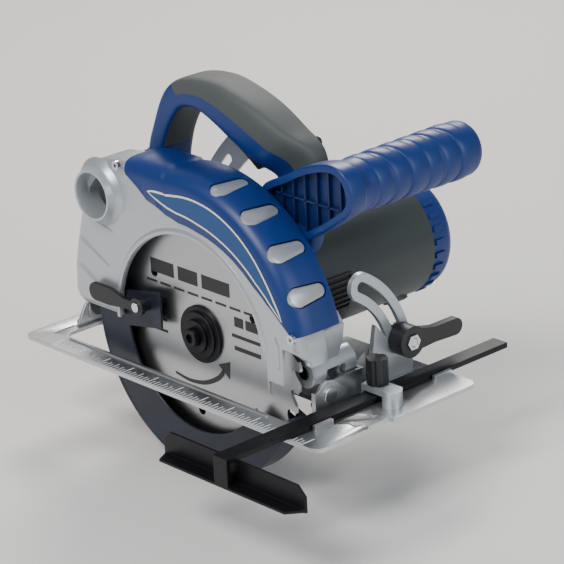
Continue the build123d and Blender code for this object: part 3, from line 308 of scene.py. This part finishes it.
keep_shapes(sheet, base_plate=0.45)
marks, mark_faces = [], []
for i in range(MARK_COUNT):
    at = MARKS_FROM + i * EIGHTH
    length, half = next((length, half) for every, length, half in MARK_SIZES if i % every == 0)
    add_box(marks, mark_faces, (at - half, MARK_V, MARK_BOTTOM), (at + half, MARK_V + length, MARK_TOP))
add_box(marks, mark_faces, (MARKS_FROM, MARK_V - 0.5, MARK_BOTTOM), (MARKS_TO, MARK_V, MARK_TOP))
finish_piece(new_piece("sole_marks", marks, mark_faces), "base", tick_ink)

# ------------------------------------------------------------------ ears, quadrant and fence clamp
# Pressed ears stand up from the sole and carry the bevel pivots on two rivets. The slotted quadrant
# and the bridge over the fence bar are cast.
bright = material("bright_steel", (0.72, 0.72, 0.72), 0.18, metal=1.0, bump=0.0)
silver = material("cast_silver", (0.50, 0.535, 0.57), 0.34, metal=0.62, grain=1500, bump=0.10, worn=0.10)
keep_shapes(sheet, front_ear=0.4, rear_ear=0.4)
keep_shapes(bright, tilt_rivets=0.6)
keep_shapes(silver, bevel_quadrant=1.2, fence_clamp=0.9)

# ------------------------------------------------------------------ tilting frame
# The folded bracket that tilts over the sole, with the curved depth strip at its rear and the bolt,
# nut and moulded lever that hold the bevel at its front.
black = material("black_plastic", (0.009, 0.010, 0.013), 0.40, grain=1800, bump=0.10)
keep_shapes(sheet, tilt_bracket=0.35)
keep_shapes(silver, depth_guide=0.35)
keep_shapes(bright, bevel_bolt=0.4, bevel_nut=0.5)
keep_shapes(black, bevel_lever=1.3)

# ------------------------------------------------------------------ upper guard
# The cast blade guard. Its outer rim is rolled over, the window has a turned edge, and the duct at
# the rear flares out to a round dust port.
AXLE_Z = 34.0
RIM_R = 107.4
PORT_X, PORT_Z = -84, 118
WINDOW_X = 2
WINDOW_STEPS = 90
OUTLINE_GAP = 4
DUCT_OUTLINE = [
    (-31, 142.2), (-60, 145.6), (-84, 142.6), (-97, 139), (-105, 130), (-108.5, 118), (-109.5, 100),
    (-113, 88), (-117, 74), (-120.5, 58), (-121.6, 40), (-118, 33), (-112, 30.4), (-60, 30.4),
    (-40, 12), (60, 12), (72, 13), (104, 13), (106, 33)]
FLARE_TURNING = (  # depth and radius
    (-11.5, 24.5), (-13.4, 22.6), (-15.2, 20.2), (-17.4, 18.7), (-20.2, 18.2), (-21.3, 17.7),
    (-21.3, 16.2), (-20.6, 15.9), (-2.6, 15.9), (-2.6, 16.6), (-11.2, 17.4))
WINDOW_TURNING = (
    (-12.6, 72.6), (-14.0, 72.8), (-14.3, 73.6), (-14.1, 75.4), (-12.9, 77.0), (-12.6, 77.0))


def loft(name, rings, closed=False, degrees=32):
    """A skin over rings of equal count. A closed loft joins its last ring to the first."""
    count = len(rings[0])
    points = [p for ring in rings for p in ring]
    faces = []
    for i in range(len(rings) if closed else len(rings) - 1):
        low, high = i * count, ((i + 1) % len(rings)) * count
        for j in range(count):
            k = (j + 1) % count
            faces.append((low + j, low + k, high + k, high + j))
    if not closed:
        faces.append(tuple(range(count - 1, -1, -1)))
        faces.append(tuple(range((len(rings) - 1) * count, len(rings) * count)))
    return new_piece(name, points, faces, degrees)


def inset(outline, amount):
    """A closed outline moved inwards along its corner normals. Outlines run anticlockwise."""
    made = []
    for i, here in enumerate(outline):
        before, after = outline[i - 1], outline[(i + 1) % len(outline)]
        dx, dz = after[0] - before[0], after[1] - before[1]
        size = math.hypot(dx, dz) or 1.0
        made.append((here[0] - dz / size * amount, here[1] + dx / size * amount))
    return made


def slab(name, outline, near, far, round_near=1.0, round_far=1.0, steps=4):
    """An outline in (x, z) made solid from v=near to v=far, with its rims rounded over."""
    rings = []
    for edge, inward, radius in ((near, 1, round_near), (far, -1, round_far)):
        for i in range(steps + 1):
            a = math.pi / 2 * (i if inward > 0 else steps - i) / steps
            row = inset(outline, radius * (1 - math.sin(a)))
            rings.append([(x, edge + inward * radius * (1 - math.cos(a)), z) for x, z in row])
    return loft(name, rings)


def carve(obj, tool, operation="DIFFERENCE"):
    """Applies a boolean with a tool, which is then thrown away."""
    cut = obj.modifiers.new("cut", "BOOLEAN")
    cut.operation = operation
    cut.object = tool
    cut.solver = "EXACT"
    graph = bpy.context.evaluated_depsgraph_get()
    made = bpy.data.meshes.new_from_object(obj.evaluated_get(graph))
    obj.modifiers.clear()
    obj.data = made
    bpy.data.objects.remove(tool)
    return obj


def arc(x, z, radius, start, stop, steps):
    """Points along an arc in (x, z)."""
    turns = [math.radians(start + (stop - start) * i / steps) for i in range(steps + 1)]
    return [(x + radius * math.cos(t), z + radius * math.sin(t)) for t in turns]


def circle(x, z, radius, sides=48):
    """Points round a circle in (x, z)."""
    return arc(x, z, radius, 0, 360 - 360 / sides, sides - 1)


def turned(x, z, turning):
    """Rings of a shape turned about a line along Y, from pairs of depth and radius."""
    return [[(px, v, pz) for px, pz in circle(x, z, radius)] for v, radius in turning]


def rod(name, x, z, near, far, radius, rim=0.6):
    """A round bar along Y with rounded rims."""
    return slab(name, circle(x, z, radius), near, far, rim, rim)


outline = arc(0, AXLE_Z, RIM_R, 6, 96, 60) + DUCT_OUTLINE
dense = []
for i, here in enumerate(outline):
    after = outline[(i + 1) % len(outline)]
    parts = max(1, int(math.dist(here, after) / OUTLINE_GAP))
    dense += [(here[0] + (after[0] - here[0]) * k / parts, here[1] + (after[1] - here[1]) * k / parts)
              for k in range(parts)]
envelope = slab("envelope", dense, -13.01, 80, 6.5, 1.0, steps=6)
envelope = carve(envelope, rod("port_room", PORT_X, PORT_Z, -21.5, 0, 19.5, 2.0), "UNION")
guard_shape = carve(cleaned("upper_guard"), envelope, "INTERSECT")
smooth_by_angle(guard_shape.data, 34)
finish_piece(guard_shape, "saw_head", silver, ("upper_guard",))

finish_piece(loft("port_flare", turned(PORT_X, PORT_Z, FLARE_TURNING), closed=True), "saw_head", silver)

bezel = [(x, v, z) for v, radius in WINDOW_TURNING
         for x, z in arc(WINDOW_X, AXLE_Z, radius, 8, 182, WINDOW_STEPS)]
faces = []
for i in range(len(WINDOW_TURNING)):
    low = i * (WINDOW_STEPS + 1)
    high = ((i + 1) % len(WINDOW_TURNING)) * (WINDOW_STEPS + 1)
    faces += [(low + j, low + j + 1, high + j + 1, high + j) for j in range(WINDOW_STEPS)]
finish_piece(new_piece("window_edge", bezel, faces), "saw_head", silver)

# ------------------------------------------------------------------ creases and foot rib
# Three creases cast outwards on the duct's face to stiffen it, and a short rib above the foot. They
# are one casting with the guard.
CREASES = (((-104, 100), (-72, 92)), ((-110, 80), (-78, 66)), ((-113, 60), (-80, 44)))
DUCT_FACE = -12.6
CREASE_FACES = [(0, 1, 5, 4), (2, 3, 4, 5), (1, 2, 5), (3, 0, 4), (0, 3, 2, 1)]
for number, (start, stop) in enumerate(CREASES):
    ridge = [(start[0], DUCT_FACE, start[1] - 2.2), (stop[0], DUCT_FACE, stop[1] - 1.2),
             (stop[0], DUCT_FACE, stop[1] + 1.2), (start[0], DUCT_FACE, start[1] + 2.2),
             (start[0] + 2, -14.0, start[1]), (stop[0] - 3, -13.4, stop[1])]
    finish_piece(new_piece("duct_crease_%d" % number, ridge, CREASE_FACES), "saw_head", silver)
finish_piece(slab("foot_rib", [(85, 36), (89, 36), (89, 52), (86, 58), (84, 52)], -13.7, -12.4, 0.6, 0.2),
             "saw_head", silver)

# ------------------------------------------------------------------ knuckle
# The casting's front web, which closes the rim down to the depth hinge, and the hinge's flat near
# end. The hinge bolt is blackened steel with a socket head.
HINGE_X, HINGE_Z = 88.0, 26.5
WEB_STEPS = 8
WEB_FROM, WEB_SPAN = 2.4, 14.6
WEB_INNER, WEB_SHOULDER, WEB_OUTER = 101.2, 105.4, 106.7
KNUCKLE_TURNING = ((9.6, 10.2), (8.9, 10.2), (8.3, 9.5), (8.3, 4.6), (9.6, 4.6))
SOCKET_R = 2.2

blackened = material("blackened_steel", (0.012, 0.012, 0.015), 0.38, metal=0.6, grain=1200, bump=0.10)
web = []
for i in range(WEB_STEPS + 1):
    turn = math.radians(WEB_FROM + WEB_SPAN * i / WEB_STEPS)
    height = AXLE_Z + 104 * math.sin(turn)
    near = -1.0 - 11.6 * min(1.0, max(0.0, (height - 41) / 11))
    web.append([(radius * math.cos(turn), v, AXLE_Z + radius * math.sin(turn))
                for radius, v in ((WEB_INNER, near), (WEB_SHOULDER, near), (WEB_OUTER, near + 1.4),
                                  (WEB_OUTER, 13.0), (WEB_SHOULDER, 14.4), (WEB_INNER, 14.4))])
finish_piece(loft("front_web", web, degrees=50), "saw_head", silver)
finish_piece(loft("knuckle_end", turned(HINGE_X, HINGE_Z, KNUCKLE_TURNING), closed=True), "saw_head", silver)
screw_head = rod("knuckle_screw_head", HINGE_X, HINGE_Z, 7.7, 9.4, 4.3, 0.5)
socket = circle(HINGE_X, HINGE_Z, SOCKET_R, sides=6)
screw_head = carve(screw_head, slab("socket_tool", socket, 7.0, 8.9, 0.01, 0.01))
smooth_by_angle(screw_head.data, 30)
finish_piece(screw_head, body_of_node["hinge_bolt"], blackened)
keep_shapes(blackened, hinge_bolt=0.5)

# ------------------------------------------------------------------ depth clamp
# A steel bolt through the curved strip and a moulded lever that turns on it.
keep_shapes(bright, depth_bolt=0.3)
keep_shapes(black, depth_lever=1.2)

# ------------------------------------------------------------------ cover
# The blue moulding that straddles the guard, held by two screws: a rounded roof, a side band with a
# waved lower edge, and four windows through which pads of the casting show.
BAND_EDGE = (  # radius about the axle, and angle
    (119, 118), (96, 110), (85.5, 100), (81.6, 92), (80.9, 78), (82.5, 64), (85, 50), (87.5, 39), (93, 29),
    (100, 21), (107, 15))
COVER_FROM, COVER_TO = 15, 117
COVER_UNDER = 107.3
ROOF_R, ROOF_SWELL = 114.6, 1.2
WINDOW_ANGLES = (74, 58.5, 43, 27.5)
PAD_SIDES = 32
PAD_TURNING = ((105.0, 0.3), (112.6, 0.3), (114.0, 1.0), (114.6, 2.6))  # radius, and how much smaller

blue = material("blue_plastic", (0.0005, 0.024, 0.150), 0.42, grain=1800, bump=0.05)


def edge_radius(degrees):
    """The band's lower edge, as a radius about the axle."""
    for (r0, a0), (r1, a1) in zip(BAND_EDGE, BAND_EDGE[1:]):
        if a1 <= degrees <= a0:
            return r0 + (r1 - r0) * (a0 - degrees) / (a0 - a1)
    return BAND_EDGE[0][0] if degrees > BAND_EDGE[0][1] else BAND_EDGE[-1][0]


def roof_radius(degrees):
    """The roof's outer radius: it swells at the middle and reaches back over the duct."""
    swell = ROOF_R + ROOF_SWELL * math.sin(math.radians((degrees - 15) * 1.7))
    if degrees > 98:
        top = 149.5 - AXLE_Z - max(0, degrees - 112) * 0.35
        swell = max(swell, top / math.sin(math.radians(degrees)))
    return swell


def under_radius(degrees):
    """The roof's inner radius, which rises over the duct but always leaves a wall."""
    if degrees <= 98:
        return COVER_UNDER
    over_duct = (145.8 - AXLE_Z) / math.sin(math.radians(degrees)) if degrees > 104 else COVER_UNDER
    return max(COVER_UNDER, min(max(COVER_UNDER, over_duct), roof_radius(degrees) - 2.4))


def window_ring(degrees, radius, shrink):
    """A long window's rim round the cover's roof, wider towards the blade's side."""
    turn = math.radians(degrees)
    row = []
    for k in range(PAD_SIDES):
        a = 2 * math.pi * k / PAD_SIDES
        near = math.cos(a) < 0
        half = (7.4 if near else 5.4) - shrink
        along = (-8.0 if near else 10.0) + half * math.cos(a) + 3.0
        aside = half * math.sin(a)
        row.append((radius * math.cos(turn) - aside * math.sin(turn), along,
                    AXLE_Z + radius * math.sin(turn) + aside * math.cos(turn)))
    return row


cover_rings = []
for degrees in range(COVER_FROM, COVER_TO + 1):
    turn = math.radians(degrees)
    outer, under = roof_radius(degrees), under_radius(degrees)
    low = min(edge_radius(degrees), outer - 6)
    section = [(under, 22.6), (outer - 3.4, 23.0), (outer - 1.2, 22.0), (outer - 0.2, 19.0), (outer, 10.0),
               (outer, 0.0), (outer - 0.5, -6.0), (outer - 2.2, -10.6), (outer - 5.2, -13.8),
               (outer - 8.2, -15.1), (max(low + 2.0, outer - 12), -15.3), (low + 1.0, -15.3), (low, -14.6),
               (low, -13.05), (max(low + 0.5, 106.0), -13.05), (107.25, -12.6), (107.25, -11), (under, -9.0)]
    cover_rings.append([(r * math.cos(turn), v, AXLE_Z + r * math.sin(turn)) for r, v in section])
cover = loft("cover", cover_rings, degrees=40)
for number, degrees in enumerate(WINDOW_ANGLES):
    cover = carve(cover, loft("window_tool", [window_ring(degrees, radius, 0) for radius in (104.0, 125.0)]))
    pad = [window_ring(degrees, radius, shrink) for radius, shrink in PAD_TURNING]
    finish_piece(loft("cover_pad_%d" % number, pad), "saw_head", silver)
smooth_by_angle(cover.data, 40)
finish_piece(cover, "saw_head", blue, ("guard_cover",))
keep_shapes(bright, cover_screws=0.4)

# ------------------------------------------------------------------ leaf
# A plain painted leaf with a pale outline, which runs along the cover's side band.
LEAF_STEPS = 60
teal = material("teal_band", (0.001, 0.050, 0.190), 0.40, bump=0.0)
cream = material("cream_line", (0.80, 0.78, 0.70), 0.40, bump=0.0)


def leaf(name, finish, v, grow, first, last):
    """A pointed band that follows the cover's side, as a thin skin."""
    upper, lower = [], []
    for i in range(LEAF_STEPS + 1):
        t = i / LEAF_STEPS
        degrees = first + (last - first) * t
        low = edge_radius(degrees)
        high = roof_radius(degrees) - 9.0
        middle = low + (high - low) * (0.46 + 0.10 * math.sin(t * math.pi))
        half = (high - low) * 0.29 * math.sin(math.pi * t) ** 0.55 + grow * min(1, 6 * math.sin(math.pi * t))
        turn = math.radians(degrees)
        upper.append(((middle + half) * math.cos(turn), v, AXLE_Z + (middle + half) * math.sin(turn)))
        lower.append(((middle - half) * math.cos(turn), v, AXLE_Z + (middle - half) * math.sin(turn)))
    second = LEAF_STEPS + 1
    skin = [(i, i + 1, second + i + 1, second + i) for i in range(LEAF_STEPS)]
    finish_piece(new_piece(name, upper + lower, skin), "saw_head", finish)


leaf("leaf_line", cream, -15.42, 1.3, 108, 21)
leaf("leaf_fill", teal, -15.50, 0.0, 107, 22)

# ------------------------------------------------------------------ gear case and spindle
# The moulded gear case, the lock that stops the spindle, the steel spindle in its two bearings and
# the gear pressed on it.
housing = material("housing_plastic", (0.030, 0.041, 0.042), 0.44, grain=2000, bump=0.12)


def refinish(finish, *nodes):
    """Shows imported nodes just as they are, in a finish of their own."""
    for node in nodes:
        shown = frame["nodes"][node]
        shown.data.materials.clear()
        shown.data.materials.append(finish)


keep_shapes(housing, gear_case=0.9)
keep_shapes(black, spindle_lock=0.8)
refinish(bright, "spindle", "spindle_front_bearing", "spindle_rear_bearing", "drive_gear")

# ------------------------------------------------------------------ motor housing and air inlet
# The moulded motor housing with its screws, and the louvred inlet at its front, a curved black
# insert that is pushed in from outside. A matt black panel behind its louvres closes the slots: painted shade
# for the dark inside the inlet.
MOTOR_X, MOTOR_Z = 17.9, 62.6
VENT_NEAR, VENT_FAR = 53.5, 80
LOUVRES = 7
LOUVRE_FROM, LOUVRE_PITCH, LOUVRE_WIDTH = -26, 5.6, 2.2

rubber = material("black_rubber", (0.011, 0.011, 0.012), 0.72, grain=2200, bump=0.2)


def curved_patch(name, finish, low, high, start, stop, near, far):
    """A strip of a tube about the motor's axis, between two radii, two angles and two depths."""
    rings = []
    for i in range(9):
        turn = math.radians(start + (stop - start) * i / 8)
        rings.append([(MOTOR_X + radius * math.cos(turn), v, MOTOR_Z + radius * math.sin(turn))
                      for radius, v in ((low, near), (high, near), (high, far), (low, far))])
    finish_piece(loft(name, rings), "saw_head", finish)


keep_shapes(housing, motor_housing=0.7)
keep_shapes(bright, housing_screws=0.2)
# The matt black panel behind the louvres is painted shade: it stands for the dark seen through the inlet's
# slots.
curved_patch("vent_painted_shade", rubber, 41.6, 42.3, -27, 9, VENT_NEAR, VENT_FAR)
for number in range(LOUVRES):
    angle = LOUVRE_FROM + LOUVRE_PITCH * number
    curved_patch("vent_louvre_%d" % number, black, 42.2, 43.5, angle, angle + LOUVRE_WIDTH, VENT_NEAR, VENT_FAR)
for number, v in enumerate((52.6, 79.4)):
    curved_patch("vent_side_%d" % number, black, 41.8, 43.5, -27.5, 9.5, v, v + 1.4)

# ------------------------------------------------------------------ end cap
# The blue moulded cap on the motor's end, with short ribs moulded round it in one piece.
RIB_COUNT = 9
RIB_FROM, RIB_PITCH = -62, 13
RIB_SECTION = ((40.6, 161), (42.6, 162), (42.6, 169), (40.2, 172))  # radius and depth
keep_shapes(blue, end_cap=0.5)
for number in range(RIB_COUNT):
    turns = [math.radians(RIB_FROM + RIB_PITCH * number + k * 1.25) for k in range(5)]
    ring = [[(MOTOR_X + radius * math.cos(t), v, MOTOR_Z + radius * math.sin(t))
             for radius, v in RIB_SECTION] for t in turns]
    finish_piece(loft("cap_rib_%d" % number, ring), "saw_head", blue)

# ------------------------------------------------------------------ motor
# What is inside the housing: laminated iron, copper windings, carbon brushes behind screwed caps,
# and the armature on its shaft with a fan and two bearings.
copper = material("copper", (0.60, 0.24, 0.09), 0.30, metal=1.0)
iron = material("laminations", (0.16, 0.16, 0.165), 0.46, metal=0.8)
refinish(iron, "stator", "armature_core")
refinish(copper, "field_coils", "armature_windings", "commutator")
refinish(bright, "armature_shaft", "armature_front_bearing", "armature_rear_bearing")
refinish(black, "cooling_fan", "brush_caps")
refinish(rubber, "carbon_brushes")

# ------------------------------------------------------------------ main handle
# A closed loop moulded in two halves: a blue shell with a soft grey grip over its back and inside.
SPINE = [  # outer x, outer z, inner x, inner z, nearest v, farthest v
    (-77, 142, -59, 146, 23.4, 53), (-70, 161, -52.5, 161, 23.4, 53), (-61.5, 180, -43.5, 173, 23.4, 53),
    (-52, 191.5, -38, 177, 23.4, 54), (-39, 198, -31, 178.5, 23.4, 54), (-20, 201, -22, 177.5, 23.4, 54),
    (0, 200, -8, 171.5, 23.4, 54), (30, 191.5, 11, 161.5, 23.4, 54), (54, 178.5, 26, 151.5, 27, 54),
    (74, 163, 37, 142, 36.6, 53), (75, 126, 40, 130, 36.6, 52), (58, 88, 33, 121, 36.6, 52),
    (18, 92, 8, 119, 26, 52), (-22, 88, -22, 119, 24, 52), (-52, 104, -46, 119.5, 24, 52),
    (-77, 122, -61, 128, 23.6, 52.5)]
AROUND, PER_SPAN, BOXY = 48, 7, 0.40
GRIP_FROM, GRIP_TO = 3.2 * PER_SPAN, 9.2 * PER_SPAN
INNER_STRIP, BACK_HALF = 42, 90  # degrees round the section from its inner line

soft = material("soft_grip", (0.062, 0.072, 0.074), 0.62, grain=2600, bump=0.30, speckle=0.12)


def smooth_path(points, per=6, closed=True):
    """A Catmull-Rom curve through points of any dimension."""
    made = []
    count = len(points)
    for i in range(count if closed else count - 1):
        if closed:
            four = [points[(i + k) % count] for k in (-1, 0, 1, 2)]
        else:
            four = [points[min(max(i + k, 0), count - 1)] for k in (-1, 0, 1, 2)]
        for step in range(per):
            t = step / per
            made.append(tuple(
                0.5 * (2 * b + (c - a) * t + (2 * a - 5 * b + 4 * c - d) * t * t
                       + (3 * b - a - 3 * c + d) * t ** 3)
                for a, b, c, d in zip(*four)))
    if not closed:
        made.append(tuple(points[-1]))
    return made


def boxed(value):
    """Pushes a sine or cosine out towards a square section."""
    return math.copysign(abs(value) ** BOXY, value)


sections = []
for ox, oz, ix, iz, near, far in smooth_path(SPINE, PER_SPAN):
    ring = []
    for k in range(AROUND):
        c, s = boxed(math.cos(2 * math.pi * k / AROUND)), boxed(math.sin(2 * math.pi * k / AROUND))
        ring.append(((ox + ix) / 2 + c * (ox - ix) / 2, (near + far) / 2 + s * (far - near) / 2,
                     (oz + iz) / 2 + c * (oz - iz) / 2))
    sections.append(ring)
handle = loft("handle", sections, closed=True, degrees=60)
finish_piece(handle, "saw_head", [blue, soft], ("handle_right", "handle_left", "soft_grip"))
for index, face in enumerate(handle.data.polygons):
    section, around = divmod(index, AROUND)
    from_inside = abs(180 - 360 * (around + 0.5) / AROUND)
    on_inside = from_inside < INNER_STRIP and section < GRIP_TO
    on_back = from_inside > BACK_HALF and GRIP_FROM < section < GRIP_TO
    if on_inside or on_back:
        face.material_index = 1

# ------------------------------------------------------------------ switch, trigger and gland
# The switch inside the handle, the moulded trigger and lock-off button that work it, and the rubber
# gland at the rear where the mains lead would enter.
keep_shapes(black, trigger=1.0, lock_off_button=0.4)
refinish(black, "switch_block")
keep_shapes(rubber, cord_gland=0.5)

# ------------------------------------------------------------------ auxiliary handle
# The bar for the left hand, with finger swells, on a wide winged root whose near face is a ribbed pocket.
# Both halves are blue mouldings; the pocket's floor and ribs are drawn a darker blue, which is painted shade in
# the recess.
AUX_X, AUX_Z = 99.5, 147.5
BAR_FROM, BAR_TO, BAR_STEPS = 34, 152, 64
SWELLS = (56, 71, 86, 101, 116, 131)
SWELL_TURNING = ((-6.6, 17.4), (-5.6, 18.2), (-3.0, 18.65), (2.0, 18.85), (5.0, 18.6), (6.0, 17.4))
SWELL_SLANT = 0.26
WING_POINTS = [
    (40, 141), (60, 152), (82, 163), (103, 168.5), (117, 165), (124, 152), (121.5, 140), (108, 129),
    (92, 119), (77, 112), (58, 119), (43, 128)]
POCKET_RIBS, RIB_GAP = 6, 11
RIB_NEAR, RIB_FAR = 25.6, 28.8

# A darker blue for the pocket's floor and ribs: painted shade in the recess, not a plastic of another colour.
pocket_shade_blue = material("pocket_painted_shade", (0.0005, 0.013, 0.085), 0.48, grain=1800, bump=0.06)
bar = []
for i in range(BAR_STEPS + 1):
    v = BAR_FROM + i * (BAR_TO - BAR_FROM) / BAR_STEPS
    t = (v - BAR_FROM) / (BAR_TO - BAR_FROM)
    radius = 17.6 + 1.5 * t + 0.35 * math.cos((v - 52) / 22 * 2 * math.pi) * (1 if 46 < v < 138 else 0.3)
    end = max(0.0, v - 144) / 8
    radius = radius * (0.62 + 0.38 * math.sqrt(max(0.0, 1 - end ** 2.4)))
    radius += 2.0 * max(0.0, 1 - (v - BAR_FROM) / 14)
    bar.append((v, radius))
aux_bar = loft("aux_bar", turned(AUX_X, AUX_Z, bar), degrees=50)
finish_piece(aux_bar, "saw_head", blue, ("aux_handle_upper", "aux_handle_lower"))
for number, v in enumerate(SWELLS):
    grown = 0.9 * (v - SWELLS[0]) / 70
    band = [[(x, v + SWELL_SLANT * (x - AUX_X) + along, z) for x, z in circle(AUX_X, AUX_Z, radius + grown)]
            for along, radius in SWELL_TURNING]
    finish_piece(loft("aux_swell_%d" % number, band, degrees=50), "saw_head", blue)

wing = smooth_path(WING_POINTS[::-1], 5)
wing_body = carve(slab("aux_root", wing, 22.8, 38, 1.6, 3.0),
                  slab("pocket_tool", inset(wing, 5.0), 10, 29, 0.2, 0.2))
smooth_by_angle(wing_body.data, 40)
finish_piece(wing_body, "saw_head", blue)
# The pocket's floor and ribs take the darker blue of painted shade.
finish_piece(slab("pocket_floor", inset(wing, 4.6), 28.4, 29.4, 0.1, 0.1), "saw_head", pocket_shade_blue)
points, faces = [], []
for k in range(POCKET_RIBS):
    x = 56 + RIB_GAP * k
    low = 122 - 0.2 * (x - 56) if x < 77 else 116 + 0.62 * (x - 77)
    high = min(148 + 0.5 * (x - 52), 163)
    add_box(points, faces, (x - 0.7, RIB_NEAR, low), (x + 0.7, RIB_FAR, high))
add_box(points, faces, (50, RIB_NEAR, 137.8), (117, RIB_FAR, 139.0))
finish_piece(new_piece("pocket_ribs", points, faces), "saw_head", pocket_shade_blue)

# ------------------------------------------------------------------ lower guard
# The pressed and painted guard that swings up into the casting, its riveted lever, the rubber
# bumper that it rests on, and the circlip and spring behind it.
guard_grey = material("guard_steel", (0.026, 0.029, 0.046), 0.36, metal=0.45, grain=1000, bump=0.06)
keep_shapes(guard_grey, lower_guard=0.35)
keep_shapes(black, guard_lever=0.8)
keep_shapes(bright, lever_rivet=0.3)
keep_shapes(rubber, guard_bumper=0.8)
refinish(bright, "guard_circlip", "guard_spring")

# ------------------------------------------------------------------ flanges and blade bolt
# Two blackened steel flanges grip the blade, drawn together by the bolt in the spindle's end.
keep_shapes(blackened, outer_flange=0.5, inner_flange=0.3, blade_bolt=0.6)

# ------------------------------------------------------------------ blade
# Ground steel with brazed carbide tips and expansion slots. Plain bars and an arrow stand for the
# print on its face.
TEETH = 36
TIP_INNER, TIP_OUTER = 89.8, 94.9
TIP_HALF, TIP_SIDE = 1.25, 0.9
PRINT_V = -1.24

ground = material("ground_steel", (0.50, 0.51, 0.52), 0.30, metal=1.0, bump=0.0)
ground_tree = ground.node_tree
where = Field(ground_tree, ground_tree.nodes.new("ShaderNodeTexCoord").outputs["Object"])
sideways = where.node("ShaderNodeSeparateXYZ", "X", {"Vector": where})
upwards = where.node("ShaderNodeSeparateXYZ", "Z", {"Vector": where}) - AXLE_Z * MM
from_axle = (sideways * sideways + upwards * upwards) ** 0.5
line = where.node("ShaderNodeCombineXYZ", "Vector", {"X": from_axle})
scratches = where.node("ShaderNodeTexNoise", "Fac", {"Vector": line, "Scale": 1500.0, "Detail": 2.0})
ground_shader = ground_tree.nodes["Principled BSDF"]
ground_tree.links.new((0.20 + scratches * 0.28).socket, ground_shader.inputs["Roughness"])
grooves = where.node("ShaderNodeBump", "Normal", {"Strength": 0.12, "Distance": 0.0003, "Height": scratches})
ground_tree.links.new(grooves.socket, ground_shader.inputs["Normal"])

blade = cleaned("blade")
smooth_by_angle(blade.data, 30)
finish_piece(blade, "spindle", ground, ("blade",))
tips, tip_faces = [], []
for tooth in range(TEETH):
    at = math.radians(tooth * 360 / TEETH - 0.6)
    cos, sin = math.cos(at), math.sin(at)
    base = len(tips)
    tips += [(r * cos - side * sin, v, AXLE_Z + r * sin + side * cos) for r in (TIP_INNER, TIP_OUTER)
             for side in (-TIP_SIDE, TIP_SIDE) for v in (-TIP_HALF, TIP_HALF)]
    tip_faces += [tuple(base + i for i in face) for face in BOX_FACES]
finish_piece(new_piece("blade_tips", tips, tip_faces), "spindle", bright)

ink = material("print_ink", (0.020, 0.021, 0.024), 0.55, bump=0.0)


def bar_shape(x, z, width, height):
    """The outline of an upright block, from its lower left corner."""
    return [(x, z), (x + width, z), (x + width, z + height), (x, z + height)]


shapes = [bar_shape(-50, 67, 24, 10), bar_shape(-22, 67, 20, 10), bar_shape(2, 67, 28, 10)]
shapes += [bar_shape(-55 + 14 * k, 59.5, 11, 1.8) for k in range(8)]
shapes += [bar_shape(-60, 50 - 4.2 * k, 24 - 5 * (k % 2), 1.9) for k in range(7)]
shapes += [bar_shape(33, 48, 9, 7), bar_shape(44, 48, 12, 7)]
shapes += [bar_shape(30, 40, 28, 2.6), bar_shape(32, 31, 26, 3.2)]
arrow = smooth_path([(-30.5, -1.9), (-16.2, -3.8), (-0.6, -1.6), (13.1, 5.1), (20.0, 12.0)], 6, closed=False)
upper = [(x - 0.03 * i, z + 1.0 + 0.045 * i) for i, (x, z) in enumerate(arrow)]
lower = [(x + 0.03 * i, z - 1.0 - 0.045 * i) for i, (x, z) in enumerate(arrow)]
shapes += [upper + lower[::-1], [(14.4, 15.8), (25.8, 7.6), (27.0, 21.0)]]
points, faces = [], []
for shape in shapes:
    faces.append(tuple(range(len(points), len(points) + len(shape))))
    points += [(x, PRINT_V, z) for x, z in shape]
finish_piece(new_piece("blade_print", points, faces), "spindle", ink)

# ------------------------------------------------------------------ rip fence
# The blackened steel bar with its shoe, and the moulded knob that clamps it in the bridge.
keep_shapes(blackened, rip_fence=0.5)
keep_shapes(black, fence_knob=0.7)

low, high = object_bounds()
